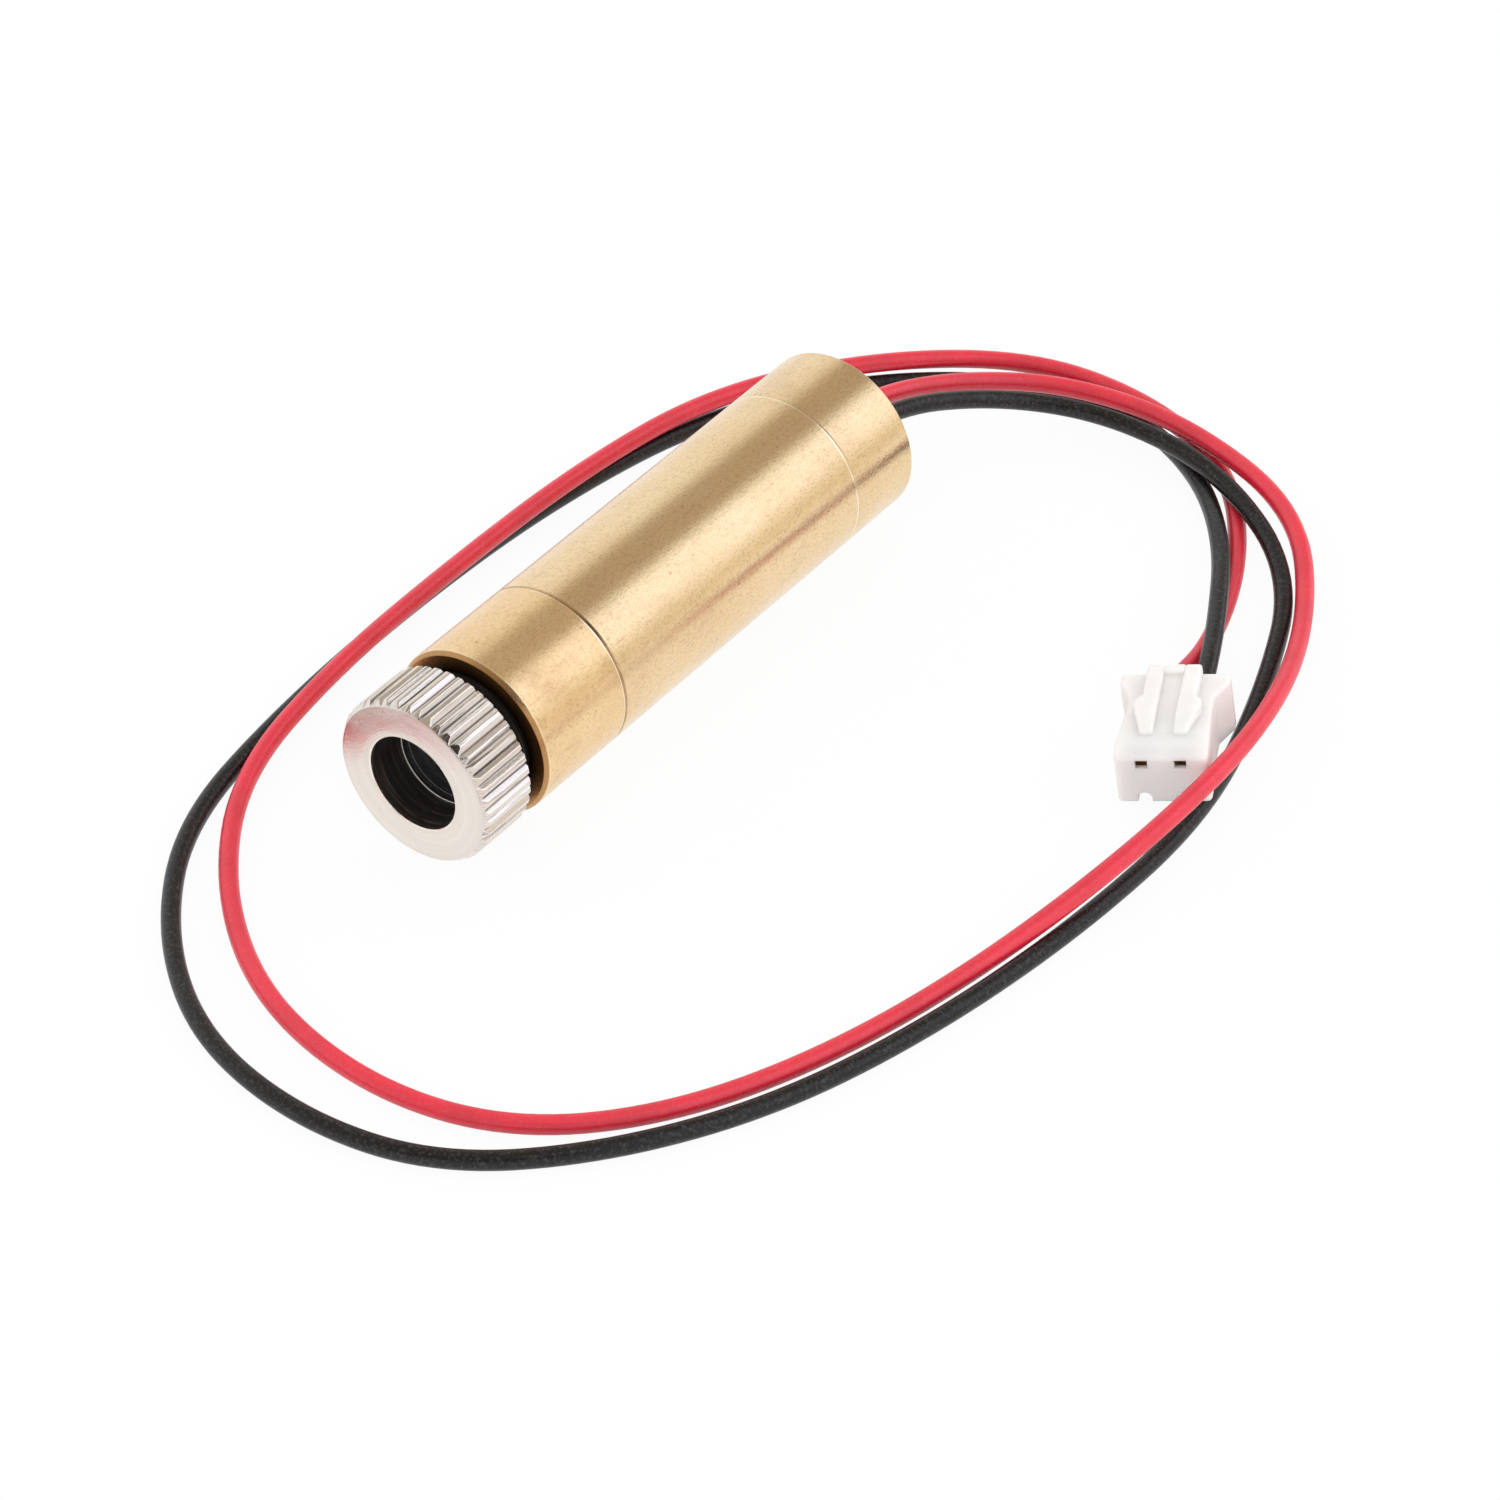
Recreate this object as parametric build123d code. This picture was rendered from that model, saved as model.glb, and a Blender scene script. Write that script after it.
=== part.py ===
from build123d import *
import math
import os

os.makedirs("parts", exist_ok=True)

# Laser diode module, in millimetres. It lies on its side: the optical axis is Y, light leaves towards -Y,
# and +Z is up. The origin is on the optical axis, inside the main tube.

# Driving sizes
barrel_r = 6.0            # outside of all three brass lengths
floor_z = -barrel_r       # the surface the module lies on
front_y = -20.0           # front face of the brass
ring_length = 8.05        # front ring, up to the first seam
tube_length = 25.15       # main tube, up to the second seam
rear_length = 6.2         # rear section
seam_chamfer = 0.12       # each edge at a seam
rim_chamfer = 0.28        # outer edges of the front and rear rims

ring_wall = 1.44          # brass round the threaded bore
thread_clearance = 0.06   # all round the lens cell's fine thread, which is drawn plain
cell_reach = 3.0          # length of thread inside the front ring
cell_wall = 1.23          # black metal round the lens pocket
seat_step = 0.135         # the bore ahead of the lens is wider than the lens by this
seat_lip = 0.2            # rim that holds the lens from the front
lens_depth = 3.0          # lens seat, behind the nut's face
lens_clearance = 0.02     # round the lens, so that it slides and turns freely of the cell
lens_thickness = 2.0
dome_play = 0.1           # between the lens's bulge and the rim that holds it
dome_rise = 0.5
lens_ring_wall = 0.57
lens_ring_length = 0.9
wrench_slot = 0.6         # the two slots that the lens ring is screwed in by

nut_gap = 1.5             # between the nut and the brass, as photographed
nut_length = 4.5
nut_wall = 1.9            # from the bonded cell to the top of the ridges
groove_depth = 0.31
groove_width = 0.60       # at the top of a groove
ridges = 43
nut_chamfer = 0.33        # radial, at the front edge
nut_rear_chamfer = 0.12
nut_lip = 0.25            # thickness of the bright lip round the aperture
lip_step = 0.015          # the lip stands back from the black wall by this
lip_chamfer = 0.08
cell_front_wall = 0.665   # the part of the cell that is bonded into the nut

web_y = 5.6               # front of the web that the spring stands on, behind the front face
web_thickness = 0.8
web_hole_r = 2.05
spring_wire = 0.3
wire_sides = 6            # the spring's wire has flats, to keep its mesh light
spring_coils = 2
spring_gap = 0.04         # at each end of the relaxed coil

diode_r = 2.8             # flange of a 5.6 mm diode can
diode_flange = 1.2
diode_notch = 0.35        # the locating notches in the flange
diode_cap_r = 1.78
diode_cap_length = 2.4
diode_cap_wall = 0.15
diode_cap_bevel = 0.2
diode_window_r = 0.85
diode_window_thickness = 0.25
diode_pin_r = 0.225
diode_pin_circle_r = 1.0
diode_pin_on_board = 2.0  # length of an outer pin along the board
diode_pin_trimmed = 1.6   # length of the third pin
diode_fit = 0.01          # radial play of the flange in its seat

tube_wall = 0.7
spigot_fit = 0.02
spigot_length = 2.5
rear_wall = 1.4
plug_recess = 0.8         # plug face behind the rear rim
plug_length = 3.0

sleeve_wall = 0.2
sleeve_play = 0.03
sleeve_end_gap = 0.1
board_thickness = 0.8
board_length = 17.0
board_start = 0.6         # behind the front ring's spigot
board_play = 0.03         # between the board's corners and the sleeve
chip_size = (3.9, 4.9, 1.6)
chip_lift = 0.15
chip_y = 7.4              # all stations on the board are from its front end
chip_span = 6.0
chip_pitch = 1.27
chip_lead = 0.4
capacitor_size = (1.2, 2.0, 0.9)
capacitor_inset = 1.95    # middle of each chip capacitor, in from the board's long edge
resistor_size = (1.6, 0.8, 0.45)
small_part_y = 2.4
trimmer_size = (3.0, 1.1, 0.5)
slot_width = 0.3
large_part_x = 1.85       # the trimmer and the inductor stand side by side
large_part_y = 12.1
drum_r = 1.5
drum_height = 1.8

lead_r = 0.65
lead_sides = 8            # the free leads have flats too
lead_spacing = 1.8        # between the two leads at the plug
lead_rise = 1.42          # where one lead rides on the other
copper_r = 0.22
copper_length = 1.7       # bare end of each lead, inside the barrel
solder_r = 0.75
solder_height = 0.8

# Sizes that follow
bore_r = barrel_r - ring_wall
thread_r = bore_r - thread_clearance
pocket_r = thread_r - cell_wall
lens_r = pocket_r - lens_clearance
cell_bore_r = lens_r + seat_step
aperture_r = cell_bore_r + lip_step
cell_front_r = cell_bore_r + cell_front_wall
nut_r = cell_front_r + nut_wall
dome_r = cell_bore_r - seat_lip - dome_play
spigot_r = barrel_r - tube_wall
rear_bore_r = barrel_r - rear_wall

# Stations along the axis
seam_1 = front_y + ring_length
seam_2 = seam_1 + tube_length
rear_y = seam_2 + rear_length
nut_rear = front_y - nut_gap
nut_face = nut_rear - nut_length
lens_face = nut_face + lens_depth
lens_back = lens_face + lens_thickness + 2 * lens_clearance
cell_end = front_y + cell_reach
web_front = front_y + web_y
web_rear = web_front + web_thickness
ring_end = seam_1 + spigot_length
plug_face = rear_y - plug_recess
plug_front = plug_face - plug_length
tail_spigot = seam_2 - spigot_length


def turned(points):
    """A solid turned about the optical axis from (radius, y) points."""
    face = make_face(Polyline(*[(r, y, 0) for r, y in points], close=True))
    return revolve(face, Axis.Y, 360)


def block(x0, x1, y0, y1, z0, z1):
    return Pos((x0 + x1) / 2, (y0 + y1) / 2, (z0 + z1) / 2) * Box(x1 - x0, y1 - y0, z1 - z0)


def rod_y(r, y0, y1, x=0.0, z=0.0):
    """A round bar along Y."""
    return Pos(x, (y0 + y1) / 2, z) * Rot(90, 0, 0) * Cylinder(r, y1 - y0)


nodes = {}


def keep(name, solid):
    nodes[name] = solid


# Brass
def front_ring():
    seat_r = diode_r + diode_fit
    c, s = rim_chamfer, seam_chamfer
    return turned([
        (bore_r, front_y), (barrel_r - c, front_y), (barrel_r, front_y + c),
        (barrel_r, seam_1 - s), (barrel_r - s, seam_1), (spigot_r - spigot_fit, seam_1),
        (spigot_r - spigot_fit, ring_end), (seat_r, ring_end), (seat_r, web_rear),
        (web_hole_r, web_rear), (web_hole_r, web_front), (bore_r, web_front)])


def main_tube():
    s = seam_chamfer
    return turned([
        (spigot_r, seam_1), (barrel_r - s, seam_1), (barrel_r, seam_1 + s),
        (barrel_r, seam_2 - s), (barrel_r - s, seam_2), (spigot_r, seam_2)])


def rear_section():
    c, s = rim_chamfer, seam_chamfer
    return turned([
        (rear_bore_r, tail_spigot), (spigot_r - spigot_fit, tail_spigot), (spigot_r - spigot_fit, seam_2),
        (barrel_r - s, seam_2), (barrel_r, seam_2 + s), (barrel_r, rear_y - c), (barrel_r - c, rear_y),
        (rear_bore_r, rear_y)])


def rear_plug():
    plug = rod_y(rear_bore_r, plug_front, plug_face)
    for x in (-lead_spacing / 2, lead_spacing / 2):
        plug -= rod_y(lead_r, plug_front - 1, plug_face + 1, x)
    return plug


keep("front_ring", front_ring())
keep("main_tube", main_tube())
keep("rear_section", rear_section())
keep("rear_plug", rear_plug())


# Focusing screw
def lens_nut():
    """A ring with a ridged outside, a chamfered front and a thin lip round the aperture."""
    step = 2 * math.pi / ridges
    half = groove_width / nut_r / 2
    root = nut_r - groove_depth
    outline = []
    for i in range(ridges):
        a = i * step
        outline.append((nut_r * math.cos(a + half), nut_r * math.sin(a + half)))
        outline.append((nut_r * math.cos(a + step - half), nut_r * math.sin(a + step - half)))
        outline.append((root * math.cos(a + step), root * math.sin(a + step)))
    wire = Polyline(*[(x, nut_face, z) for x, z in outline], close=True)
    ridged = extrude(make_face(wire), amount=nut_length, dir=(0, 1, 0))
    over, c, k = nut_r + 0.01, nut_chamfer, nut_rear_chamfer
    shape = turned([
        (aperture_r + lip_chamfer, nut_face), (over - c, nut_face), (over, nut_face + 1.5 * c),
        (over, nut_rear - k), (over - k, nut_rear), (cell_front_r, nut_rear),
        (cell_front_r, nut_face + nut_lip), (aperture_r, nut_face + nut_lip),
        (aperture_r, nut_face + lip_chamfer)])
    return ridged & shape


def lens_cell():
    """Bonded into the nut in front, threaded behind, with a pocket for the lens."""
    rim_r = cell_bore_r - seat_lip
    neck = 0.15
    return turned([
        (cell_bore_r, nut_face + nut_lip), (cell_front_r, nut_face + nut_lip), (cell_front_r, nut_rear),
        (thread_r - neck, nut_rear), (thread_r, nut_rear + neck), (thread_r, cell_end - neck),
        (thread_r - neck, cell_end), (pocket_r, cell_end), (pocket_r, lens_face), (rim_r, lens_face),
        (rim_r, lens_face - seat_lip), (cell_bore_r, lens_face - seat_lip)])


def collimating_lens():
    """Flat towards the diode, bulging forwards, with a straight rim."""
    y0 = lens_face + lens_clearance
    y1 = y0 + lens_thickness
    ball_r = (dome_r ** 2 + dome_rise ** 2) / (2 * dome_rise)
    ball = Pos(0, y0 - dome_rise + ball_r, 0) * Sphere(ball_r)
    dome = ball & rod_y(dome_r, y0 - dome_rise, y0 + lens_thickness / 4)
    return rod_y(lens_r, y0, y1) + dome


def lens_ring():
    """Screwed in behind the lens, with two slots for the wrench."""
    y0, y1 = lens_back, lens_back + lens_ring_length
    inner, edge = pocket_r - lens_ring_wall, 0.15
    ring = turned([(inner, y0), (pocket_r, y0), (pocket_r, y1), (inner + edge, y1), (inner, y1 - edge)])
    for side in (-1, 1):
        x = side * inner
        ring -= block(x - 0.45, x + 0.45, y1 - 0.4, y1 + 1, -wrench_slot / 2, wrench_slot / 2)
    return ring


def focus_spring():
    """A light coil between the cell and the web; it shortens when the screw goes in."""
    length = web_front - cell_end - 2 * spring_gap - spring_wire
    radius = thread_r - 0.2 - spring_wire
    path = Helix(pitch=length / spring_coils, height=length, radius=radius)
    section = Plane(origin=path @ 0, z_dir=path % 0) * RegularPolygon(spring_wire / 2, wire_sides)
    coil = sweep(section, path=path)
    return Pos(0, cell_end + spring_gap + spring_wire / 2, 0) * Rot(-90, 0, 0) * coil


keep("lens_nut", lens_nut())
keep("lens_cell", lens_cell())
keep("collimating_lens", collimating_lens())
keep("lens_ring", lens_ring())
keep("focus_spring", focus_spring())


# Laser diode
cap_front = web_rear - diode_cap_length


def diode_cap():
    """A thin can with a round window."""
    r, t, b, hole = diode_cap_r, diode_cap_wall, diode_cap_bevel, diode_window_r - 0.2
    return turned([
        (hole, cap_front), (r - b, cap_front), (r, cap_front + b), (r, web_rear), (r - t, web_rear),
        (r - t, cap_front + t), (hole, cap_front + t)])


def diode_base():
    """The flange, with a pair of notches across and one below."""
    base = rod_y(diode_r, web_rear, web_rear + diode_flange)
    notch = Pos(diode_r, web_rear, 0) * Rot(0, 45, 0) * Box(diode_notch, 3 * diode_flange, diode_notch)
    for turn in (0, 90, 180):
        base -= Rot(0, turn, 0) * notch
    return base


window_front = cap_front + diode_cap_wall
keep("diode_base", diode_base())
keep("diode_cap", diode_cap())
keep("diode_window", rod_y(diode_window_r, window_front, window_front + diode_window_thickness))

# Driver board: its top face lies just under the diode's two outer pins
sleeve_out = spigot_r - sleeve_play
sleeve_in = sleeve_out - sleeve_wall
board_top = -diode_pin_r
board_low = board_top - board_thickness
board_half = math.sqrt((sleeve_in - board_play) ** 2 - board_low ** 2)
board_y0 = ring_end + board_start
board_y1 = board_y0 + board_length
pin_start = web_rear + diode_flange
pin_end = board_y0 + diode_pin_on_board
sleeve_y0, sleeve_y1 = ring_end + sleeve_end_gap, tail_spigot - sleeve_end_gap

keep("board_sleeve", turned([(sleeve_in, sleeve_y0), (sleeve_out, sleeve_y0),
                             (sleeve_out, sleeve_y1), (sleeve_in, sleeve_y1)]))
keep("driver_board", block(-board_half, board_half, board_y0, board_y1, board_low, board_top))
keep("diode_pin_a", rod_y(diode_pin_r, pin_start, pin_end, -diode_pin_circle_r))
keep("diode_pin_b", rod_y(diode_pin_r, pin_start, pin_end, diode_pin_circle_r))
keep("diode_pin_c", rod_y(diode_pin_r, pin_start, pin_start + diode_pin_trimmed, 0, diode_pin_circle_r))


def driver_chip():
    """An eight-lead package across the middle of the board."""
    wide, long, high = chip_size
    y, foot, ankle = board_y0 + chip_y, chip_span / 2, wide / 2 + 0.2
    body = block(-wide / 2, wide / 2, y - long / 2, y + long / 2, board_top + chip_lift, board_top + high)
    body = chamfer(body.edges().filter_by(Axis.Y).group_by(Axis.Z)[-1], 0.25)
    for k in range(4):
        y0 = y + (k - 1.5) * chip_pitch - chip_lead / 2
        leg = block(wide / 2, foot, y0, y0 + chip_lead, board_top, board_top + 0.2)
        leg += block(wide / 2, ankle, y0, y0 + chip_lead, board_top, board_top + high / 2)
        body += leg + mirror(leg, Plane.YZ)
    return body


def inductor():
    """A drum core, drawn with its winding's groove."""
    x, middle = large_part_x, board_top + drum_height / 2
    groove = drum_height / 2
    core = Cylinder(drum_r, drum_height) - (Cylinder(drum_r + 1, groove) - Cylinder(drum_r - 0.35, groove))
    return Pos(x, board_y0 + large_part_y, middle) * core


def capacitor(side):
    """A chip capacitor beside the board's long edge, near the diode."""
    wide, long, high = capacitor_size
    x, y = side * (board_half - capacitor_inset), board_y0 + small_part_y
    body = block(x - wide / 2, x + wide / 2, y - long / 2, y + long / 2, board_top, board_top + high)
    return chamfer(body.edges().filter_by(Axis.Y), 0.06)


def sense_resistor():
    long, wide, high = resistor_size
    y = board_y0 + small_part_y + 0.6
    return block(-long / 2, long / 2, y, y + wide, board_top, board_top + high)


def current_trimmer():
    """A square base with a round, cross-slotted rotor."""
    side, base, rotor = trimmer_size
    x, y, top = -large_part_x, board_y0 + large_part_y, board_top + base + rotor
    body = block(x - side / 2, x + side / 2, y - side / 2, y + side / 2, board_top, board_top + base)
    body += Pos(x, y, top - rotor / 2) * Cylinder(side / 3, rotor)
    for slot in (Box(side / 2, slot_width, 2 * slot_width), Box(slot_width, side / 2, 2 * slot_width)):
        body -= Pos(x, y, top) * slot
    return body


keep("driver_chip", driver_chip())
keep("inductor", inductor())
keep("output_capacitor", capacitor(-1))
keep("input_capacitor", capacitor(1))
keep("sense_resistor", sense_resistor())
keep("current_trimmer", current_trimmer())


# Leads inside the barrel: insulation up to the plug's outer face, and the bare end in its solder
insulation_y = board_y1 + 0.3
tail_start = insulation_y - copper_length


def lead_tail(x):
    return rod_y(lead_r, insulation_y, plug_face, x) + rod_y(copper_r, tail_start, insulation_y, x)


def solder_joint(x):
    """A low mound on the board, with the copper let into it."""
    mound = Cylinder(solder_r, solder_height, align=(Align.CENTER, Align.CENTER, Align.MIN))
    mound = chamfer(mound.edges().group_by(Axis.Z)[-1], solder_r / 2)
    return Pos(x, tail_start + 0.3, board_top) * mound - rod_y(copper_r, tail_start, board_y1 + 1, x)


for colour, x in (("red", -lead_spacing / 2), ("black", lead_spacing / 2)):
    keep(colour + "_lead_tail", lead_tail(x))
    keep(colour + "_solder", solder_joint(x))

# Connector: it stands on the edge of its rear left foot and leans on the black lead. Local x is across,
# y runs back from its mating face and z is up out of its ribbed side.
conn_width = 7.1          # across the ears at the rear
conn_front = 6.0
conn_waist = 5.5
conn_length = 8.6
conn_straight = 1.2       # full width at the front
ear_length = 1.0
ear_taper = 1.6           # from the ears to the waist
waist_length = 1.1
conn_height = 3.9
conn_rib = 0.75
rib_inner = 0.65          # half the valley between the two ribs
rib_nose = 1.5
rib_wide = 2.25
rib_outer = 1.75
rib_front = 1.9
rib_narrow = 3.4          # length of the narrow rear part of each rib
rib_shoulder = 0.2
hump_length = 0.75
conn_slope = (0.4, 0.9)   # height and length of the sloped edge above the mating face
conn_round = 0.35
notch_r = 0.48
notch_rise = 0.3
notch_length = 3.2        # the opening below each contact's box
conn_pitch = 2.5
conn_bevel = 0.2          # round its underside
conn_edge = 0.25          # round its upper side
front_wall = 0.45
cavity_half = 0.85
cavity_low, cavity_high = 0.75, 3.4
window_z = 2.95
window_size = (0.8, 0.64)
lead_height = 1.7
lead_inset = 1.6          # from the rear face to the lead's end, in the middle of its crimp
crimp_length = 1.6
contact_wall = 0.18
contact_half = 0.72
contact_play = 0.05
crimp_wall = 0.12
crimp_play = 0.06
conn_yaw = math.radians(25.7)
conn_tip = math.radians(3.0)
conn_roll = math.radians(9.2)
conn_foot = (28.83, 11.82)

cy, sy = math.cos(conn_yaw), math.sin(conn_yaw)
across0 = Vector(cy, sy, 0)
back0 = Vector(-sy, cy, 0)
back = back0 * math.cos(conn_tip) - Vector(0, 0, 1) * math.sin(conn_tip)
up0 = back0 * math.sin(conn_tip) + Vector(0, 0, 1) * math.cos(conn_tip)
across = across0 * math.cos(conn_roll) + up0 * math.sin(conn_roll)
up = up0 * math.cos(conn_roll) - across0 * math.sin(conn_roll)
foot = Vector(conn_foot[0], conn_foot[1], floor_z)
conn_origin = foot + across * (conn_width / 2 - conn_bevel) - back * conn_length
conn_plane = Plane(origin=conn_origin, x_dir=across, z_dir=up)
conn_place = conn_plane.location


def conn_point(x, y, z):
    return conn_origin + across * x + back * y + up * z


def prism(points, z0, z1):
    """A plate with an outline in local x and y."""
    face = make_face(Polyline(*[(x, y, z0) for x, y in points], close=True))
    return extrude(face, amount=z1 - z0, dir=(0, 0, 1))


def connector_housing():
    f, w, r, length, h = conn_front / 2, conn_waist / 2, conn_width / 2, conn_length, conn_height
    ear = length - ear_length
    waist = ear - ear_taper
    side = [(f, 0), (f, conn_straight), (w, waist - waist_length), (w, waist), (r, ear), (r, length)]
    body = prism(side + [(-x, y) for x, y in reversed(side)], 0, h)
    body = fillet([e for e in body.edges() if abs(e.tangent_at(0).Z) > 0.99], conn_round)
    body = chamfer(body.edges().group_by(Axis.Z)[0], conn_bevel)
    body = fillet(body.edges().group_by(Axis.Z)[-1], conn_edge)
    drop, run = conn_slope
    x, low = -r - 1, h - drop * (1 + 1 / run)
    slope = Polyline((x, -1, low), (x, run, h), (x, run, h + 1), (x, -1, h + 1), close=True)
    body -= extrude(make_face(slope), amount=2 * r + 2, dir=(1, 0, 0))
    narrow = length - rib_narrow
    for sign in (-1, 1):
        rib = [(rib_inner, rib_front), (rib_nose, rib_front), (rib_wide, narrow - rib_shoulder),
               (rib_outer, narrow), (rib_outer, length), (rib_inner, length)]
        body += prism([(sign * x, y) for x, y in rib], cavity_high, h + conn_rib)
    hump = [(-rib_inner - 0.05, length - hump_length), (rib_inner + 0.05, length - hump_length),
            (rib_inner + 0.05, length), (-rib_inner - 0.05, length)]
    body += prism(hump, cavity_high, h + conn_rib)
    for sign in (-1, 1):
        x = sign * conn_pitch / 2
        wide, high = window_size
        body -= block(x - cavity_half, x + cavity_half, front_wall, length + 1, cavity_low, cavity_high)
        body -= block(x - wide / 2, x + wide / 2, -1, front_wall + 1, window_z - high / 2, window_z + high / 2)
        body -= arched_notch(x)
    return body


def arched_notch(x):
    """The opening under each contact, open below, from the front."""
    a, b, top = x - notch_r, x + notch_r, notch_rise + notch_r
    legs = Polyline((a, -1, notch_rise), (a, -1, -1), (b, -1, -1), (b, -1, notch_rise))
    arch = ThreePointArc((a, -1, notch_rise), (x, -1, top), (b, -1, notch_rise))
    return extrude(make_face([*legs.edges(), arch]), amount=1 + notch_length, dir=(0, 1, 0))


def crimp_contact(side):
    """A box that takes the pin, a neck, and the crimp round the lead's end."""
    x, half, wall = side * conn_pitch / 2, contact_half, contact_wall
    top, mouth = cavity_high - contact_play, front_wall + contact_play
    low = top - 2 * half
    crimp = conn_length - lead_inset - crimp_length / 2
    heel = crimp - 1.3
    box = block(x - half, x + half, mouth, heel, low, top)
    box -= block(x - half + wall, x + half - wall, 0, heel + 1, low + wall, top - wall)
    neck = block(x - half, x + half, heel, crimp, low, low + wall)
    drop = block(x - half, x + half, crimp - wall, crimp + 0.05, lead_height - lead_r, low + wall)
    bore = lead_r + crimp_play
    ring = Cylinder(bore + crimp_wall, crimp_length) - Cylinder(bore, crimp_length)
    return box + neck + drop + Pos(x, conn_length - lead_inset, lead_height) * Rot(90, 0, 0) * ring


keep("connector_housing", conn_place * connector_housing())
keep("red_contact", conn_place * crimp_contact(-1))
keep("black_contact", conn_place * crimp_contact(1))

# Leads: the points that each one's straight runs join, from the plug to the crimp. Their height is the lead
# lying on the surface, except where it leaves the barrel, crosses the other lead or leans on the connector.
down = floor_z + lead_r
exit_x = lead_spacing / 2
crimp_x, crimp_y = conn_pitch / 2, conn_length - lead_inset
red_end = [conn_point(-1.1, conn_length + 1.4, 1.6), conn_point(-crimp_x, crimp_y, lead_height)]
black_end = [conn_point(1.4, conn_length + 1.4, 1.85), conn_point(crimp_x, crimp_y, lead_height)]
over = down + lead_rise

red_route = [
    (-exit_x, plug_face, 0), (-exit_x, plug_face + 4.6, 0), (1.22, 31.48, -2.43), (7.14, 37.1, -3.62),
    (16.17, 38.12, -3.8), (26.97, 34.79, -4.0), (33.43, 25.83, -4.8), (38.05, 13.35, -2.2),
    (38.6, 0.6, -1.85), (35.07, -11.95, down), (32.14, -24.87, down), (27.34, -35.27, down),
    (20.43, -42.08, down), (11.48, -44.26, down), (1.45, -42.36, down), (-7.05, -36.32, down),
    (-13.1, -27.7, -4.85), (-14.45, -16.5, over), (-14.8, -3.64, over), (-14.51, 9.39, over),
    (-12.55, 21.33, over), (-6.0, 31.4, over + 0.02), (1.9, 39.65, -5.2), (11.37, 40.55, down),
    (20.0, 37.2, down), (25.84, 29.49, down), (29.23, 20.66, -5.2)] + red_end

black_route = [
    (exit_x, plug_face, 0), (exit_x, plug_face + 4.6, 0), (4.35, 31.69, -2.6), (11.13, 35.88, -3.7),
    (20.49, 35.09, -3.72), (29.79, 29.76, -4.8), (34.59, 18.67, down), (37.89, 6.39, down),
    (37.5, -6.41, down), (35.5, -19.24, down), (31.9, -30.91, down), (26.04, -40.32, down),
    (18.74, -46.93, down), (9.88, -48.8, down), (0.59, -47.11, down), (-7.14, -41.6, down),
    (-13.14, -33.11, down), (-15.15, -21.51, down), (-15.89, -7.67, down), (-15.28, 6.74, down),
    (-12.56, 20.27, down), (-6.5, 30.1, down), (1.75, 36.65, down), (10.12, 38.94, down),
    (17.86, 36.1, down), (24.33, 29.5, -4.3), (29.04, 21.45, -3.7)] + black_end


def corner_radii(route):
    """For each corner 0.45 of the shorter run over the tangent of half the turn."""
    p = [Vector(*q) for q in route]
    radii = []
    for a, b, c in zip(p, p[1:], p[2:]):
        u, v = b - a, c - b
        half = math.radians(u.get_angle(v)) / 2
        radii.append(0.45 * min(u.length, v.length) / math.tan(half))
    return radii


def lead_tube(name, route):
    radii = corner_radii(route)
    path = FilletPolyline(*route, radius=radii)
    edges = path.edges()
    start = Plane(origin=path @ 0, z_dir=path % 0)
    section = start * RegularPolygon(lead_r, lead_sides)
    tube = sweep(section, path=path)
    length = sum(e.length for e in edges)
    expected = section.area * length
    print(name, "length", round(length, 1), "least radius", round(min(radii), 1),
          "volume over section times length", round(tube.volume / expected, 4))
    print(name, "radii", [round(r, 1) for r in radii])
    return tube


keep("red_lead", lead_tube("red_lead", red_route))
keep("black_lead", lead_tube("black_lead", black_route))

for name, solid in nodes.items():
    shape = solid if isinstance(solid, (Part, Solid, Compound)) else Part(solid)
    export_step(shape, f"parts/{name}.step")
    count = len(shape.solids())
    box = shape.bounding_box()
    print(f"{name:20s} solids {count} valid {shape.is_valid} volume {shape.volume:9.3f} x {box.min.X:7.2f} "
          f"{box.max.X:7.2f} y {box.min.Y:7.2f} {box.max.Y:7.2f} z {box.min.Z:6.2f} {box.max.Z:6.2f}")
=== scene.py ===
import math

import bmesh
import bpy
from mathutils import Matrix, Vector


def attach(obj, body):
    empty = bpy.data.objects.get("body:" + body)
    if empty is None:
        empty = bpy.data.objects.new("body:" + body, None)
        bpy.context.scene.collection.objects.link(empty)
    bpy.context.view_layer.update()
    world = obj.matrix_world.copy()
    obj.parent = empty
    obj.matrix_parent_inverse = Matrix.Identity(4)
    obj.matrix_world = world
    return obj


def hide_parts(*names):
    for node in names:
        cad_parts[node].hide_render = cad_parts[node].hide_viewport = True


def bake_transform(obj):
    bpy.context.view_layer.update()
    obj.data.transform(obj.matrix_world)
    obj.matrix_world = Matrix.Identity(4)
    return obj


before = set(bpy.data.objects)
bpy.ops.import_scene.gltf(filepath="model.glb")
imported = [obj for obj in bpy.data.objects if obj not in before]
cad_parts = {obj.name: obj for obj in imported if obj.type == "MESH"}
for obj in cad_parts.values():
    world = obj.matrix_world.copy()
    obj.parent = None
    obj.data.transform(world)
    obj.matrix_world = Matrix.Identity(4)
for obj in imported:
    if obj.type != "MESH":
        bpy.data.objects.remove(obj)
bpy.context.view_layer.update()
scene = bpy.context.scene

# Sizes that several pieces share, in millimetres; y runs back along the optical axis
MM = 0.001
BARREL_R, BARREL_FRONT, BARREL_REAR = 6.0, -20.0, 19.4
FRONT_SEAM, REAR_SEAM = -11.95, 13.2
END_CHAMFER, FRONT_SEAM_CHAMFER, REAR_SEAM_CHAMFER = 0.28, 0.12, 0.04
SPIGOT_R, TUBE_BORE_R = 5.28, 5.3
THREAD_BORE_R, CELL_R, NUT_SEAT_R = 4.56, 4.5, 4.05
NUT_R, NUT_FRONT, NUT_REAR = 5.95, -26.0, -21.5
APERTURE_R = 3.4
LENS_SEAT_R, LENS_SEAT = 3.185, -23.2
LEAD_SIDE = 0.9

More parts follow.
